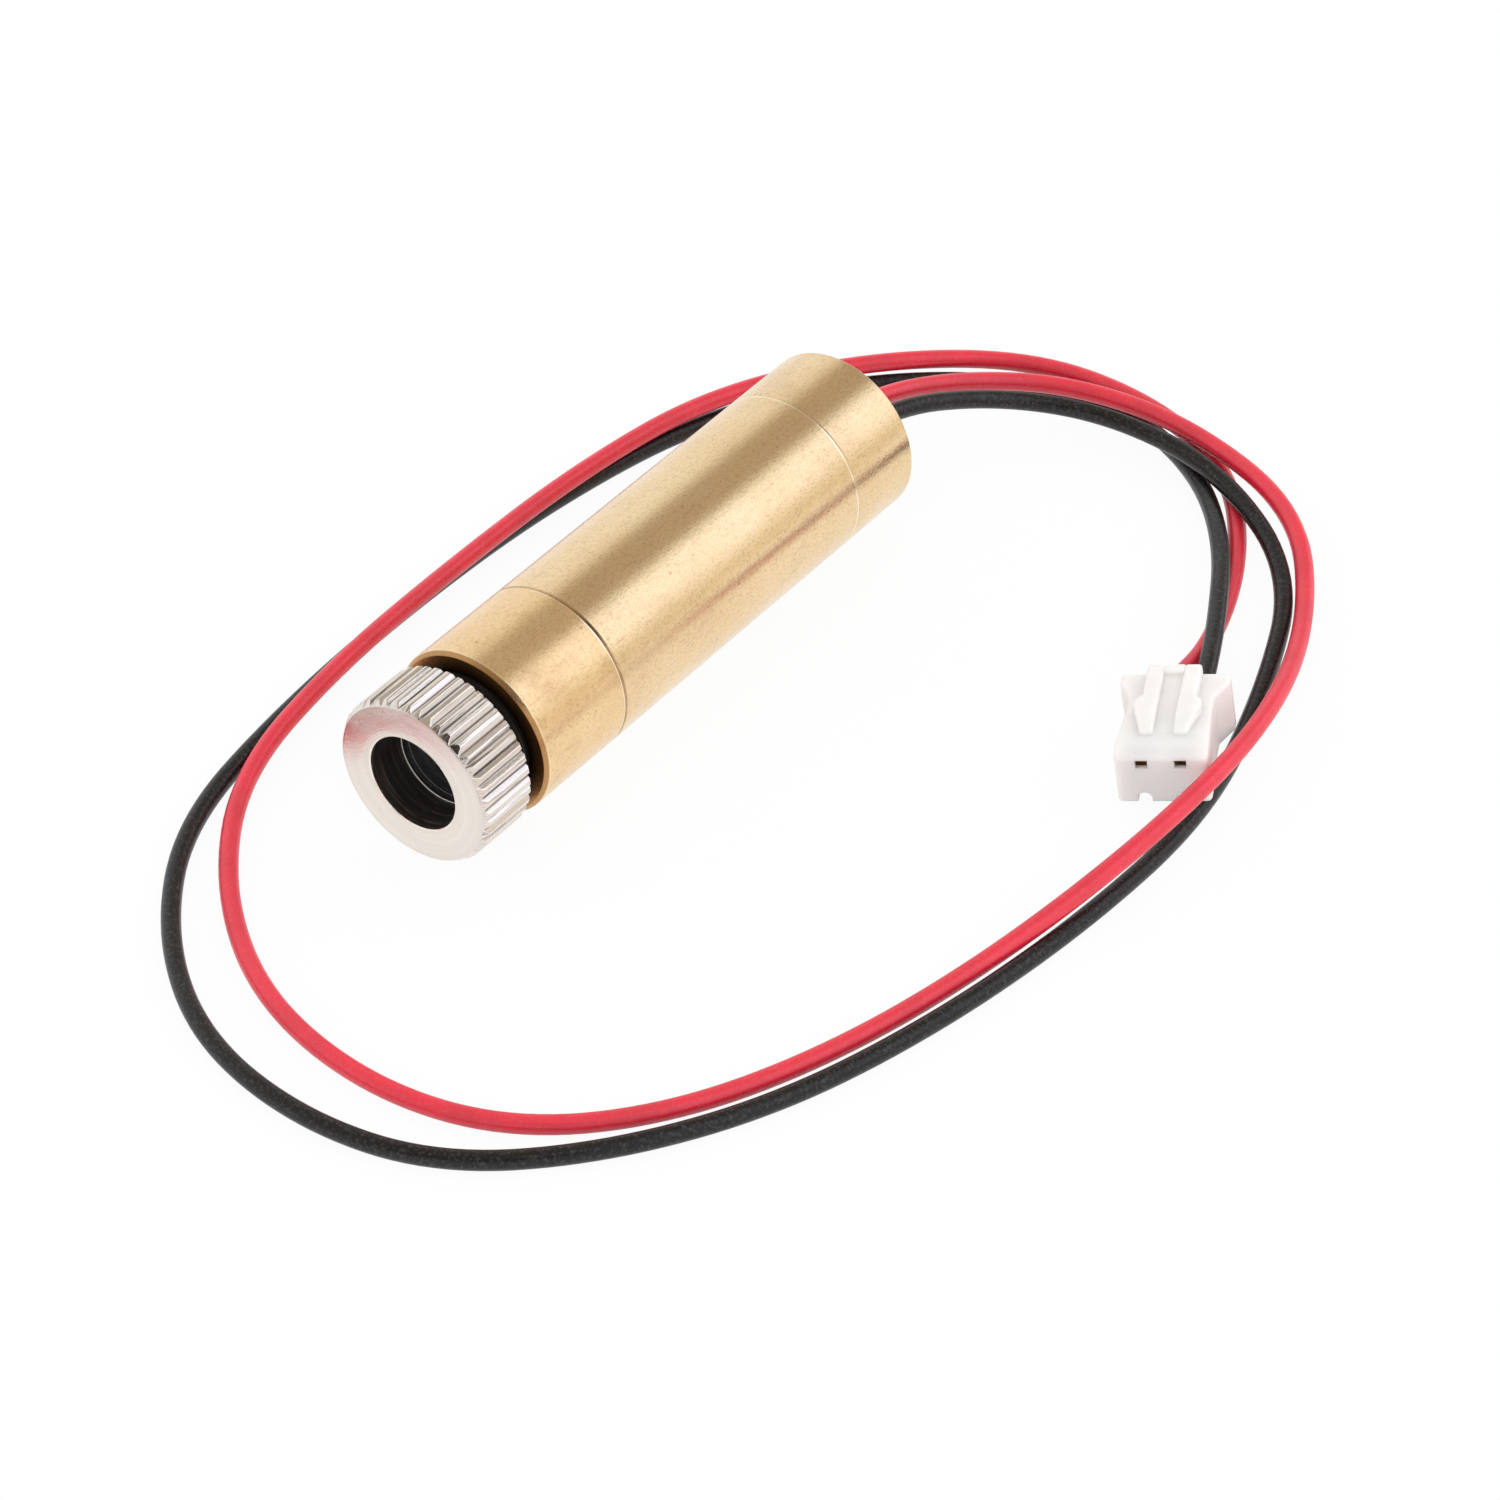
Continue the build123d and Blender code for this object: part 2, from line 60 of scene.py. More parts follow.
# Camera, as fitted to the photograph's circles and outlines, in metres and radians
CAMERA_AT, CAMERA_DOWN, CAMERA_ROUND = (0.16584, -0.21264, 0.21683), 0.71047, 0.64215
camera_data = bpy.data.cameras.new("camera")
camera_data.lens, camera_data.sensor_width = 127.36, 36.0
camera_data.clip_start, camera_data.clip_end = 0.01, 20.0
camera = bpy.data.objects.new("camera", camera_data)
camera.location = CAMERA_AT
camera.rotation_euler = (math.pi / 2 - CAMERA_DOWN, 0.0, CAMERA_ROUND)
scene.collection.objects.link(camera)
scene.camera = camera
scene.view_settings.view_transform = "Standard"


# Materials
def material(name):
    m = bpy.data.materials.new(name)
    m.use_nodes = True
    m.node_tree.nodes.clear()
    return m, m.node_tree


def add(tree, kind, settings=None, **inputs):
    """A node with its settings, and each input, by name or as i0, i1, given a value or linked to a socket."""
    node = tree.nodes.new(kind)
    for key, value in (settings or {}).items():
        setattr(node, key, value)
    for key, value in inputs.items():
        by_number = key[0] == "i" and key[1:].isdigit()
        socket = node.inputs[int(key[1:]) if by_number else key.replace("_", " ")]
        if isinstance(value, bpy.types.NodeSocket):
            tree.links.new(value, socket)
        else:
            socket.default_value = value
    return node


def maths(tree, operation, a, b=0.0):
    return add(tree, "ShaderNodeMath", {"operation": operation}, i0=a, i1=b).outputs[0]


def times(tree, a, b):
    return maths(tree, "MULTIPLY", a, b)


def distance_from(tree, value, centre):
    return maths(tree, "ABSOLUTE", maths(tree, "SUBTRACT", value, centre))


def fitted(tree, value, low, high, to_low=0.0, to_high=1.0):
    """The value carried from low..high to to_low..to_high, and held at both ends."""
    return add(tree, "ShaderNodeMapRange", None, Value=value, From_Min=low, From_Max=high, To_Min=to_low,
               To_Max=to_high).outputs[0]


def mixed(tree, fac, a, b):
    """Colour a with colour b over it by fac."""
    node = tree.nodes.new("ShaderNodeMix")
    node.data_type = "RGBA"
    for socket, value in ((node.inputs[0], fac), (node.inputs[6], a), (node.inputs[7], b)):
        if isinstance(value, bpy.types.NodeSocket):
            tree.links.new(value, socket)
        else:
            socket.default_value = value if isinstance(value, float) else (*value[:3], 1.0)
    return node.outputs[2]


def place(tree, scale=(1.0, 1.0, 1.0), turn=(0.0, 0.0, 0.0)):
    """The piece's own coordinates, in metres, stretched by a scale."""
    coords = add(tree, "ShaderNodeTexCoord").outputs["Object"]
    return add(tree, "ShaderNodeMapping", None, Vector=coords, Scale=scale, Rotation=turn).outputs[0]


def noise_at(tree, vector, scale, detail=2.0, rough=0.5):
    return add(tree, "ShaderNodeTexNoise", None, Vector=vector, Scale=scale, Detail=detail,
               Roughness=rough).outputs[0]


def noise(tree, scale, detail=2.0, stretch=(1.0, 1.0, 1.0), rough=0.5, turn=(0.0, 0.0, 0.0)):
    return noise_at(tree, place(tree, stretch, turn), scale, detail, rough)


def joined(tree, x, y, z=0.0):
    return add(tree, "ShaderNodeCombineXYZ", None, X=x, Y=y, Z=z).outputs[0]


def shaded(colour, factor):
    return tuple(c * factor for c in colour)


def round_place(tree):
    """(distance from the optical axis, angle, y), in metres and radians."""
    x, y, z = add(tree, "ShaderNodeSeparateXYZ", None, Vector=place(tree)).outputs
    r = maths(tree, "SQRT", maths(tree, "ADD", times(tree, x, x), times(tree, z, z)))
    return r, maths(tree, "ARCTAN2", x, z), y


def bumped(tree, height, distance, strength=1.0, normal=None):
    node = add(tree, "ShaderNodeBump", None, Height=height, Distance=distance, Strength=strength)
    if normal is not None:
        tree.links.new(normal, node.inputs["Normal"])
    return node.outputs[0]


def finish_material(m, tree, colour, rough, metal=0.0, normal=None, **more):
    inputs = {"Base_Color": colour if isinstance(colour, bpy.types.NodeSocket) else (*colour, 1.0),
              "Roughness": rough, "Metallic": metal}
    inputs.update(more)
    shader = add(tree, "ShaderNodeBsdfPrincipled", None, **inputs)
    if normal is not None:
        tree.links.new(normal, shader.inputs["Normal"])
    add(tree, "ShaderNodeOutputMaterial", None, Surface=shader.outputs[0])
    return m


def brass(name, colour, dark, seams, rough, worn, face_y=None, metal=1.0):
    """Satin brass with grain, specks, scratches and smudges.

    Each seam is (y, strength of its brown line, strength of the painted highlight line before it). At face_y
    the outer surface ends in a rim of painted shade with a painted highlight line, and the front face carries
    a painted shadow.
    """
    m, t = material(name)
    grain = noise(t, 6500.0, 4.0, rough=0.7)
    sandy = noise(t, 4000.0, 3.0, (1.0, 0.7, 1.0), 0.6)
    cloud = noise(t, 230.0, 4.0, rough=0.6)
    turned = noise(t, 1.0, 3.0, (60.0, 9000.0, 60.0))
    scratch = noise(t, 1.0, 2.0, (5200.0, 260.0, 5200.0), turn=(0.0, 0.0, 0.5))
    specks = add(t, "ShaderNodeTexVoronoi", None, Vector=place(t, (1.0, 0.8, 1.0)), Scale=1100.0).outputs[0]
    few = fitted(t, noise(t, 420.0, 2.0), 0.53, 0.62)
    speck = times(t, fitted(t, specks, 0.16, 0.06), few)
    smudge = fitted(t, noise(t, 190.0, 6.0, (1.0, 0.6, 1.0), 0.72), 0.53, 0.72)
    r, _, y = round_place(t)
    base = mixed(t, fitted(t, cloud, 0.32, 0.7), colour,
                 tuple(c * k for c, k in zip(colour, (0.95, 0.92, 0.87))))
    base = mixed(t, times(t, smudge, worn), base, dark)
    base = mixed(t, times(t, speck, 0.45), base, dark)
    base = mixed(t, fitted(t, scratch, 0.66, 0.76, 0.0, 0.25), base, dark)
    base = mixed(t, fitted(t, grain, 0.5, 0.7, 0.0, 0.34), base, dark)
    base = mixed(t, fitted(t, sandy, 0.52, 0.68, 0.0, 0.2), base, dark)
    for seam, depth, light in seams:
        near = distance_from(t, y, seam * MM)
        patchy = times(t, fitted(t, near, 0.00016, 0.00006), fitted(t, cloud, 0.3, 0.6, 0.5, 1.0))
        base = mixed(t, times(t, patchy, depth), base, dark)
        # Painted highlight: a pale line just before each seam, where the joint's edge would catch the light
        beside = distance_from(t, y, (seam - 0.15) * MM)
        painted_seam_highlight = times(t, fitted(t, beside, 0.00009, 0.00005, 0.0, light),
                       fitted(t, noise(t, 160.0, 1.0), 0.42, 0.56, 0.35, 1.0))
        base = mixed(t, painted_seam_highlight, base, (1.0, 0.9, 0.7))
    if face_y is not None:
        # Painted shade on the front chamfer, with a painted highlight line where the chamfer meets the
        # outside
        painted_rim_shade = fitted(t, y, (face_y + 0.27) * MM, (face_y + 0.2) * MM, 0.0, 0.85)
        painted_rim_highlight = fitted(t, distance_from(t, y, (face_y + 0.3) * MM), 0.00006, 0.00003, 0.0, 0.6)
        # Painted shadow from the nut over the front face, darkest towards the bore
        painted_face_shadow = fitted(t, y, (face_y + 0.06) * MM, (face_y + 0.01) * MM, 0.0, 0.95)
        painted_shadow_colour = mixed(t, fitted(t, r, 0.0047, 0.00585), shaded(dark, 0.1), shaded(dark, 1.3))
        base = mixed(t, painted_rim_shade, base, (0.42, 0.22, 0.08))
        base = mixed(t, painted_rim_highlight, base, (1.0, 0.81, 0.5))
        base = mixed(t, painted_face_shadow, base, painted_shadow_colour)
    roughness = fitted(t, cloud, 0.3, 0.75, rough - 0.03, rough + 0.07)
    roughness = maths(t, "ADD", roughness, times(t, smudge, 0.06))
    normal = bumped(t, grain, 0.00002, 0.5)
    normal = bumped(t, sandy, 0.00003, 0.22, normal)
    normal = bumped(t, turned, 0.000005, 0.3, normal)
    normal = bumped(t, fitted(t, scratch, 0.7, 0.78), 0.000008, 0.35, normal)
    normal = bumped(t, speck, 0.00001, 0.5, normal)
    return finish_material(m, t, base, roughness, metal, normal)


def plain(name, colour, rough, metal=0.0, scale=800.0, depth=0.00001, **more):
    """An even finish with a little cloudiness and grain."""
    m, t = material(name)
    cloud = noise(t, scale, 3.0)
    base = mixed(t, cloud, shaded(colour, 0.94), tuple(min(1.0, c * 1.05) for c in colour))
    return finish_material(m, t, base, fitted(t, cloud, 0.3, 0.7, rough * 0.9, min(1.0, rough * 1.12)), metal,
                           bumped(t, noise(t, scale * 8, 2.0), depth, 0.3), **more)


def turned_metal(name, colour, rough):
    """Nickel: concentric tool marks on the front face, drawn lines along the ridges behind it; painted groove
    shade and lip highlight.
    """
    m, t = material(name)
    r, angle, y = round_place(t)
    ring = joined(t, r, times(t, angle, 0.0001))
    marks = noise_at(t, ring, 8000.0, 3.0, 0.6)
    wide = noise_at(t, ring, 1500.0)
    along = joined(t, times(t, angle, 0.0059), times(t, y, 0.035), times(t, r, 0.3))
    lines = noise_at(t, along, 5200.0, 3.0, 0.65)
    outside = fitted(t, y, (NUT_FRONT + 0.03) * MM, (NUT_FRONT + 0.07) * MM)
    height = mixed(t, outside, marks, lines)
    broad = noise_at(t, along, 1500.0)
    height = maths(t, "ADD", height, times(t, times(t, broad, outside), 1.6))
    cloud = noise(t, 500.0, 3.0)
    base = mixed(t, fitted(t, wide, 0.35, 0.7), colour, shaded(colour, 0.92))
    dull = times(t, fitted(t, broad, 0.48, 0.6), outside)
    base = mixed(t, times(t, dull, 0.12), base, shaded(colour, 0.55))
    worn = times(t, fitted(t, lines, 0.57, 0.66), outside)
    base = mixed(t, times(t, worn, 0.8), base, shaded(colour, 0.22))
    # Painted shade in the groove roots behind the front chamfer, patchy along the ridges
    groove = times(t, fitted(t, r, (NUT_R - 0.22) * MM, (NUT_R - 0.28) * MM),
                   fitted(t, y, (NUT_FRONT + 0.18) * MM, (NUT_FRONT + 0.4) * MM))
    groove = times(t, groove, fitted(t, broad, 0.38, 0.5, 0.55, 1.0))
    base = mixed(t, groove, base, shaded(colour, 0.14))
    # Painted highlight: a bright ring round the aperture's lip
    painted_lip_highlight = fitted(t, r, (APERTURE_R + 0.11) * MM, (APERTURE_R + 0.09) * MM)
    base = mixed(t, times(t, painted_lip_highlight, 0.8), base, (1.0, 0.93, 0.82))
    grain = noise(t, 5200.0, 3.0, rough=0.65)
    normal = bumped(t, height, 0.00003, 0.6)
    normal = bumped(t, grain, 0.00003, 0.5, normal)
    roughness = fitted(t, cloud, 0.3, 0.7, rough - 0.05, rough + 0.07)
    roughness = maths(t, "SUBTRACT", roughness, times(t, outside, 0.1))
    return finish_material(m, t, base, roughness, 1.0, normal)


def black_metal(name):
    """Black anodising over turned marks, a little worn, with a painted highlight at the edge of the lens's
    seat.
    """
    m, t = material(name)
    r, angle, y = round_place(t)
    marks = noise_at(t, joined(t, times(t, r, 0.4), times(t, angle, 0.00012), y), 5200.0, 3.0, 0.6)
    worn = fitted(t, marks, 0.5, 0.7)
    base = mixed(t, times(t, worn, 0.75), (0.016, 0.014, 0.0125), (0.13, 0.095, 0.07))
    # Painted highlight: a bright line round the edge of the lens's seat
    edge = times(t, fitted(t, r, (LENS_SEAT_R - 0.035) * MM, (LENS_SEAT_R - 0.005) * MM),
                 fitted(t, r, (LENS_SEAT_R + 0.035) * MM, (LENS_SEAT_R + 0.015) * MM))
    edge = times(t, edge, fitted(t, y, (LENS_SEAT + 0.08) * MM, (LENS_SEAT + 0.03) * MM))
    base = mixed(t, edge, base, (1.0, 0.98, 0.94))
    normal = bumped(t, marks, 0.00002, 0.4)
    thread = fitted(t, r, 0.0036, 0.0038)
    return finish_material(m, t, base, fitted(t, thread, 0.0, 1.0, 0.3, 0.6), 0.0, normal,
                           Specular_IOR_Level=fitted(t, thread, 0.0, 1.0, 0.45, 0.12))


def pvc(name, colour, pale, rough, shine, texture, fleck):
    """Smooth insulation, a little uneven along its length, with faint scuffs."""
    m, t = material(name)
    cloud = noise(t, 330.0, 3.0)
    scuff = fitted(t, noise(t, 4200.0, 4.0, rough=0.65), 0.5, 0.68)
    base = mixed(t, fitted(t, cloud, 0.35, 0.7), colour, shaded(colour, 0.86))
    base = mixed(t, times(t, scuff, fleck), base, pale)
    normal = bumped(t, noise(t, 420.0, 2.0), 0.00006, 0.25)
    normal = bumped(t, noise(t, 4500.0, 3.0), 0.00002, texture, normal)
    return finish_material(m, t, base, fitted(t, cloud, 0.3, 0.7, rough, rough + 0.1), 0.0, normal,
                           Specular_IOR_Level=shine)


barrel_brass = brass("barrel_brass", colour=(0.93, 0.71, 0.43), dark=(0.34, 0.17, 0.07),
                     seams=((FRONT_SEAM, 0.72, 0.0), (REAR_SEAM, 0.0, 0.8)), rough=0.15, worn=0.15)
ring_brass = brass("ring_brass", colour=(0.92, 0.67, 0.375), dark=(0.40, 0.19, 0.065),
                   seams=((FRONT_SEAM, 0.72, 0.85),), rough=0.17, worn=0.46, face_y=BARREL_FRONT, metal=0.92)
nickel = turned_metal("nickel", colour=(0.865, 0.795, 0.73), rough=0.22)
anodised = black_metal("black_anodised")
potting = plain("black_potting", (0.010, 0.010, 0.011), 0.42, scale=600.0, depth=0.00003,
                Specular_IOR_Level=0.35)
glass = plain("lens_glass", (0.16, 0.16, 0.17), 0.02, scale=300.0, depth=0.0, Transmission_Weight=0.9,
              IOR=1.5)
steel = plain("spring_steel", (0.55, 0.55, 0.56), 0.3, metal=1.0)
gold = plain("diode_gold", (0.85, 0.62, 0.25), 0.28, metal=1.0)
film = plain("sleeve_film", (0.68, 0.62, 0.48), 0.35)
laminate = plain("board_laminate", (0.02, 0.14, 0.05), 0.3)
resin = plain("chip_resin", (0.02, 0.02, 0.021), 0.5)
ferrite = plain("ferrite", (0.07, 0.07, 0.075), 0.6)
ceramic = plain("ceramic", (0.42, 0.28, 0.17), 0.5)
trimmer_white = plain("trimmer_plastic", (0.72, 0.72, 0.66), 0.4)
solder_metal = plain("solder", (0.72, 0.72, 0.73), 0.28, metal=1.0)
contact_metal = plain("contact_brass", (0.80, 0.52, 0.25), 0.4, metal=0.45)
nylon = plain("white_nylon", (0.83, 0.808, 0.785), 0.42, scale=700.0, depth=0.00002, Subsurface_Weight=0.8,
              Subsurface_Radius=(1.0, 0.95, 0.9), Subsurface_Scale=0.001)
red_pvc = pvc("red_insulation", colour=(0.80, 0.014, 0.042), pale=(0.95, 0.45, 0.45), rough=0.32, shine=0.75,
              texture=0.3, fleck=0.06)
black_pvc = pvc("black_insulation", colour=(0.007, 0.0055, 0.0055), pale=(0.16, 0.15, 0.15), rough=0.29,
                shine=0.4, texture=0.8, fleck=0.24)

# Free leads: the CAD tube's own points are the control points of a curve
red_route = [
    (-0.9, 18.6, 0), (-0.9, 23.2, 0), (1.22, 31.48, -2.43), (7.14, 37.1, -3.62), (16.17, 38.12, -3.8),
    (26.97, 34.79, -4.0), (33.43, 25.83, -4.8), (38.05, 13.35, -2.2), (38.6, 0.6, -1.85),
    (35.07, -11.95, -5.35), (32.14, -24.87, -5.35), (27.34, -35.27, -5.35), (20.43, -42.08, -5.35),
    (11.48, -44.26, -5.35), (1.45, -42.36, -5.35), (-7.05, -36.32, -5.35), (-13.1, -27.7, -4.85),
    (-14.45, -16.5, -3.93), (-14.8, -3.64, -3.93), (-14.51, 9.39, -3.93), (-12.55, 21.33, -3.93),
    (-6.0, 31.4, -3.91), (1.9, 39.65, -5.2), (11.37, 40.55, -5.35), (20.0, 37.2, -5.35),
    (25.84, 29.49, -5.35), (29.23, 20.66, -5.2), (29.951, 14.024, -4.136), (31.101, 11.257, -3.905)]
black_route = [
    (0.9, 18.6, 0), (0.9, 23.2, 0), (4.35, 31.69, -2.6), (11.13, 35.88, -3.7), (20.49, 35.09, -3.72),
    (29.79, 29.76, -4.8), (34.59, 18.67, -5.35), (37.89, 6.39, -5.35), (37.5, -6.41, -5.35),
    (35.5, -19.24, -5.35), (31.9, -30.91, -5.35), (26.04, -40.32, -5.35), (18.74, -46.93, -5.35),
    (9.88, -48.8, -5.35), (0.59, -47.11, -5.35), (-7.14, -41.6, -5.35), (-13.14, -33.11, -5.35),
    (-15.15, -21.51, -5.35), (-15.89, -7.67, -5.35), (-15.28, 6.74, -5.35), (-12.56, 20.27, -5.35),
    (-6.5, 30.1, -5.35), (1.75, 36.65, -5.35), (10.12, 38.94, -5.35), (17.86, 36.1, -5.35),
    (24.33, 29.5, -4.3), (29.04, 21.45, -3.7), (32.124, 15.107, -3.491), (33.316, 12.346, -3.506)]

DRAWN_LEAD_R = 0.64    # just under the CAD tube's 0.65


def lead(name, route, finish):
    """A round curve that starts and ends at the route's own ends."""
    data = bpy.data.curves.new(name, "CURVE")
    data.dimensions = "3D"
    data.bevel_depth, data.bevel_resolution, data.resolution_u = DRAWN_LEAD_R * MM, 6, 10
    data.use_fill_caps = True
    spline = data.splines.new("NURBS")
    spline.points.add(len(route) - 1)
    for point, (x, y, z) in zip(spline.points, route):
        point.co = (x * MM, y * MM, z * MM, 1.0)
    spline.order_u = 3
    spline.use_endpoint_u = True
    spline.use_smooth = True
    data.materials.append(finish)
    obj = bpy.data.objects.new(name, data)
    scene.collection.objects.link(obj)
    return obj


red_lead = lead("red_lead_skin", red_route, red_pvc)
black_lead = lead("black_lead_skin", black_route, black_pvc)


# Meshes
def shade_smooth(mesh, sharp):
    mesh.polygons.foreach_set("use_smooth", [True] * len(mesh.polygons))
    mesh.set_sharp_from_angle(angle=math.radians(sharp))


def mesh_object(name, verts, faces, finish, sharp=35.0):
    """A closed mesh from points in millimetres, faces outward, smooth but for its sharp edges."""
    mesh = bpy.data.meshes.new(name)
    mesh.from_pydata([tuple(c * MM for c in v) for v in verts], [], faces)
    bm = bmesh.new()
    bm.from_mesh(mesh)
    bmesh.ops.remove_doubles(bm, verts=bm.verts, dist=2e-7)
    bmesh.ops.recalc_face_normals(bm, faces=bm.faces)
    bm.to_mesh(mesh)
    bm.free()
    shade_smooth(mesh, sharp)
    mesh.materials.append(finish)
    obj = bpy.data.objects.new(name, mesh)
    scene.collection.objects.link(obj)
    return obj


def rounded(points, radius, own=None, steps=4):
    """A closed outline whose corners are arcs, with a point beside each arc to keep the flats flat.

    own gives the radius of single corners by their number.
    """
    out = []
    for i, p in enumerate(points):
        before, here, after = Vector(points[i - 1]), Vector(p), Vector(points[(i + 1) % len(points)])
        r = (own or {}).get(i, radius)
        u, v = before - here, after - here
        lu, lv = u.length, v.length
        u, v = u.normalized(), v.normalized()
        opening = math.acos(max(-1.0, min(1.0, u.dot(v))))
        if r <= 0 or opening > math.radians(176):
            out.append(tuple(here))
            continue
        t = min(r / math.tan(opening / 2), 0.4 * lu, 0.4 * lv)
        r = t * math.tan(opening / 2)
        centre = here + (u + v).normalized() * (r / math.sin(opening / 2))
        first, last = here + u * t - centre, here + v * t - centre
        a0 = math.atan2(first.y, first.x)
        turn = (math.atan2(last.y, last.x) - a0 + math.pi) % (2 * math.pi) - math.pi
        out.append(tuple(here + u * min(1.5 * t, 0.45 * lu)))
        for k in range(steps + 1):
            a = a0 + turn * k / steps
            out.append((centre.x + r * math.cos(a), centre.y + r * math.sin(a)))
        out.append(tuple(here + v * min(1.5 * t, 0.45 * lv)))
    return out


def lathe(name, profile, finish, segments=256, warp=None, sharp=35.0):
    """A closed profile of (radius, y) turned about the optical axis; warp moves a point by its angle."""
    verts, faces = [], []
    n = len(profile)
    for k in range(segments):
        a = 2 * math.pi * k / segments
        for r, y in profile:
            if warp:
                r, y = warp(r, y, a)
            verts.append((r * math.sin(a), y, r * math.cos(a)))
    for k in range(segments):
        m = (k + 1) % segments
        for i in range(n):
            j = (i + 1) % n
            if profile[i][0] > 1e-6 or profile[j][0] > 1e-6:
                faces.append((k * n + i, k * n + j, m * n + j, m * n + i))
    return mesh_object(name, verts, faces, finish, sharp)


# Brass barrel
FRONT_SPIGOT_END, REAR_SPIGOT_END = -9.45, 10.7
DIODE_SEAT_R, WEB_HOLE_R, WEB_FRONT, WEB_REAR = 2.81, 2.05, -14.4, -13.6
REAR_BORE_R = 4.6

front_ring = lathe("front_ring_skin", rounded([
    (THREAD_BORE_R, BARREL_FRONT), (BARREL_R - END_CHAMFER, BARREL_FRONT),
    (BARREL_R, BARREL_FRONT + END_CHAMFER), (BARREL_R, FRONT_SEAM - FRONT_SEAM_CHAMFER),
    (BARREL_R - FRONT_SEAM_CHAMFER, FRONT_SEAM), (SPIGOT_R, FRONT_SEAM), (SPIGOT_R, FRONT_SPIGOT_END),
    (DIODE_SEAT_R, FRONT_SPIGOT_END), (DIODE_SEAT_R, WEB_REAR), (WEB_HOLE_R, WEB_REAR),
    (WEB_HOLE_R, WEB_FRONT), (THREAD_BORE_R, WEB_FRONT)], radius=0.05), ring_brass)
main_tube = lathe("main_tube_skin", rounded([
    (TUBE_BORE_R, FRONT_SEAM), (BARREL_R - FRONT_SEAM_CHAMFER, FRONT_SEAM),
    (BARREL_R, FRONT_SEAM + FRONT_SEAM_CHAMFER), (BARREL_R, REAR_SEAM - REAR_SEAM_CHAMFER),
    (BARREL_R - REAR_SEAM_CHAMFER, REAR_SEAM), (TUBE_BORE_R, REAR_SEAM)], radius=0.02), barrel_brass)
rear_section = lathe("rear_section_skin", rounded([
    (REAR_BORE_R, REAR_SPIGOT_END), (SPIGOT_R, REAR_SPIGOT_END), (SPIGOT_R, REAR_SEAM),
    (BARREL_R - REAR_SEAM_CHAMFER, REAR_SEAM), (BARREL_R, REAR_SEAM + REAR_SEAM_CHAMFER),
    (BARREL_R, BARREL_REAR - END_CHAMFER), (BARREL_R - END_CHAMFER, BARREL_REAR), (REAR_BORE_R, BARREL_REAR)],
    radius=0.05), barrel_brass)

# Rear plug
PLUG_FRONT, PLUG_FACE, PLUG_RINGS = 15.6, 18.6, 40


def meniscus(r, y, a):
    """The resin dips in the middle and creeps up the wall and the leads."""
    if y < PLUG_FACE - 1.6 or r > REAR_BORE_R - 0.05:
        return r, y
    x, z = r * math.sin(a), r * math.cos(a)
    lift = 0.25 * math.exp(-(REAR_BORE_R - r) / 0.25)
    for lead_x in (-LEAD_SIDE, LEAD_SIDE):
        d = max(0.0, math.hypot(x - lead_x, z) - 0.62)
        lift += 0.22 * math.exp(-d / 0.22)
    ripple = 0.02 * math.sin(3.1 * x + 1.0) * math.cos(2.3 * z)
    return r, y - 0.12 + min(0.3, lift) + ripple


plug_profile = [(0.0, PLUG_FRONT), (REAR_BORE_R, PLUG_FRONT), (REAR_BORE_R, PLUG_FACE - 0.05)]
plug_profile += [(REAR_BORE_R - REAR_BORE_R * k / PLUG_RINGS, PLUG_FACE) for k in range(1, PLUG_RINGS + 1)]
rear_plug = lathe("rear_plug_skin", plug_profile, potting, segments=160, warp=meniscus, sharp=60.0)

# Focusing nut: one ridge's sector, repeated round the axis and then made a little uneven
RIDGES, GROOVE_DEPTH, GROOVE_WIDTH = 43, 0.31, 0.60
FRONT_CHAMFER, REAR_CHAMFER = 0.32, 0.11
WALL = 0.25    # thickness of the face before the lens cell
PITCH = 2 * math.pi / RIDGES
LIP_CHAMFER, FACE_RADII = 0.08, (3.72, 4.2, 4.7, 5.1, 5.35, 5.5, 5.56)
SECTOR_STEPS = 20


def soft_min(a, b, k):
    """The smaller of a and b, with the corner between them rounded by k."""
    h = max(0.0, min(1.0, 0.5 + 0.5 * (b - a) / k))
    return b + (a - b) * h - k * h * (1 - h)


def nut_radius(u, y):
    """The ridged outside at u, from 0 to 1 over one pitch, cut by the chamfers of both ends."""
    s = abs(u - 0.5) * PITCH * NUT_R
    valley = NUT_R - GROOVE_DEPTH * (1 - math.sqrt(s * s + 0.0012) / (GROOVE_WIDTH / 2))
    r = soft_min(NUT_R, valley, 0.035)
    front = NUT_R - FRONT_CHAMFER + (y - NUT_FRONT) / 1.5
    back = NUT_R - REAR_CHAMFER + (NUT_REAR - y)
    return soft_min(soft_min(r, front, 0.02), back, 0.02)


def nut_sector():
    """One pitch of the nut: its inside, front face, ridged outside and rear face, with open sides."""
    outer = [NUT_FRONT + 0.56 * k / 14 for k in range(15)]
    outer += [NUT_FRONT + d for d in (0.8, 1.6, 2.5, 3.4, 4.1)]
    outer += [NUT_REAR - 0.2 + 0.2 * k / 6 for k in range(7)]
    inner = rounded([(NUT_SEAT_R, NUT_REAR), (NUT_SEAT_R, NUT_FRONT + WALL), (APERTURE_R, NUT_FRONT + WALL),
                     (APERTURE_R, NUT_FRONT + LIP_CHAMFER), (APERTURE_R + LIP_CHAMFER, NUT_FRONT)],
                    radius=0.02, own={0: 0.0, 4: 0.015})
    verts, faces = [], []
    for i in range(SECTOR_STEPS + 1):
        u = i / SECTOR_STEPS
        a = (u - 0.5) * PITCH
        line = inner + [(r, NUT_FRONT) for r in FACE_RADII]
        line += [(nut_radius(u, y), y) for y in outer]
        line += [(nut_radius(u, NUT_REAR) - 0.08, NUT_REAR), (5.1, NUT_REAR), (4.5, NUT_REAR)]
        verts += [(r * math.sin(a), y, r * math.cos(a)) for r, y in line]
    n = len(line)
    for i in range(SECTOR_STEPS):
        for j in range(n):
            k = (j + 1) % n
            faces.append((i * n + j, i * n + k, (i + 1) * n + k, (i + 1) * n + j))
    return verts, faces


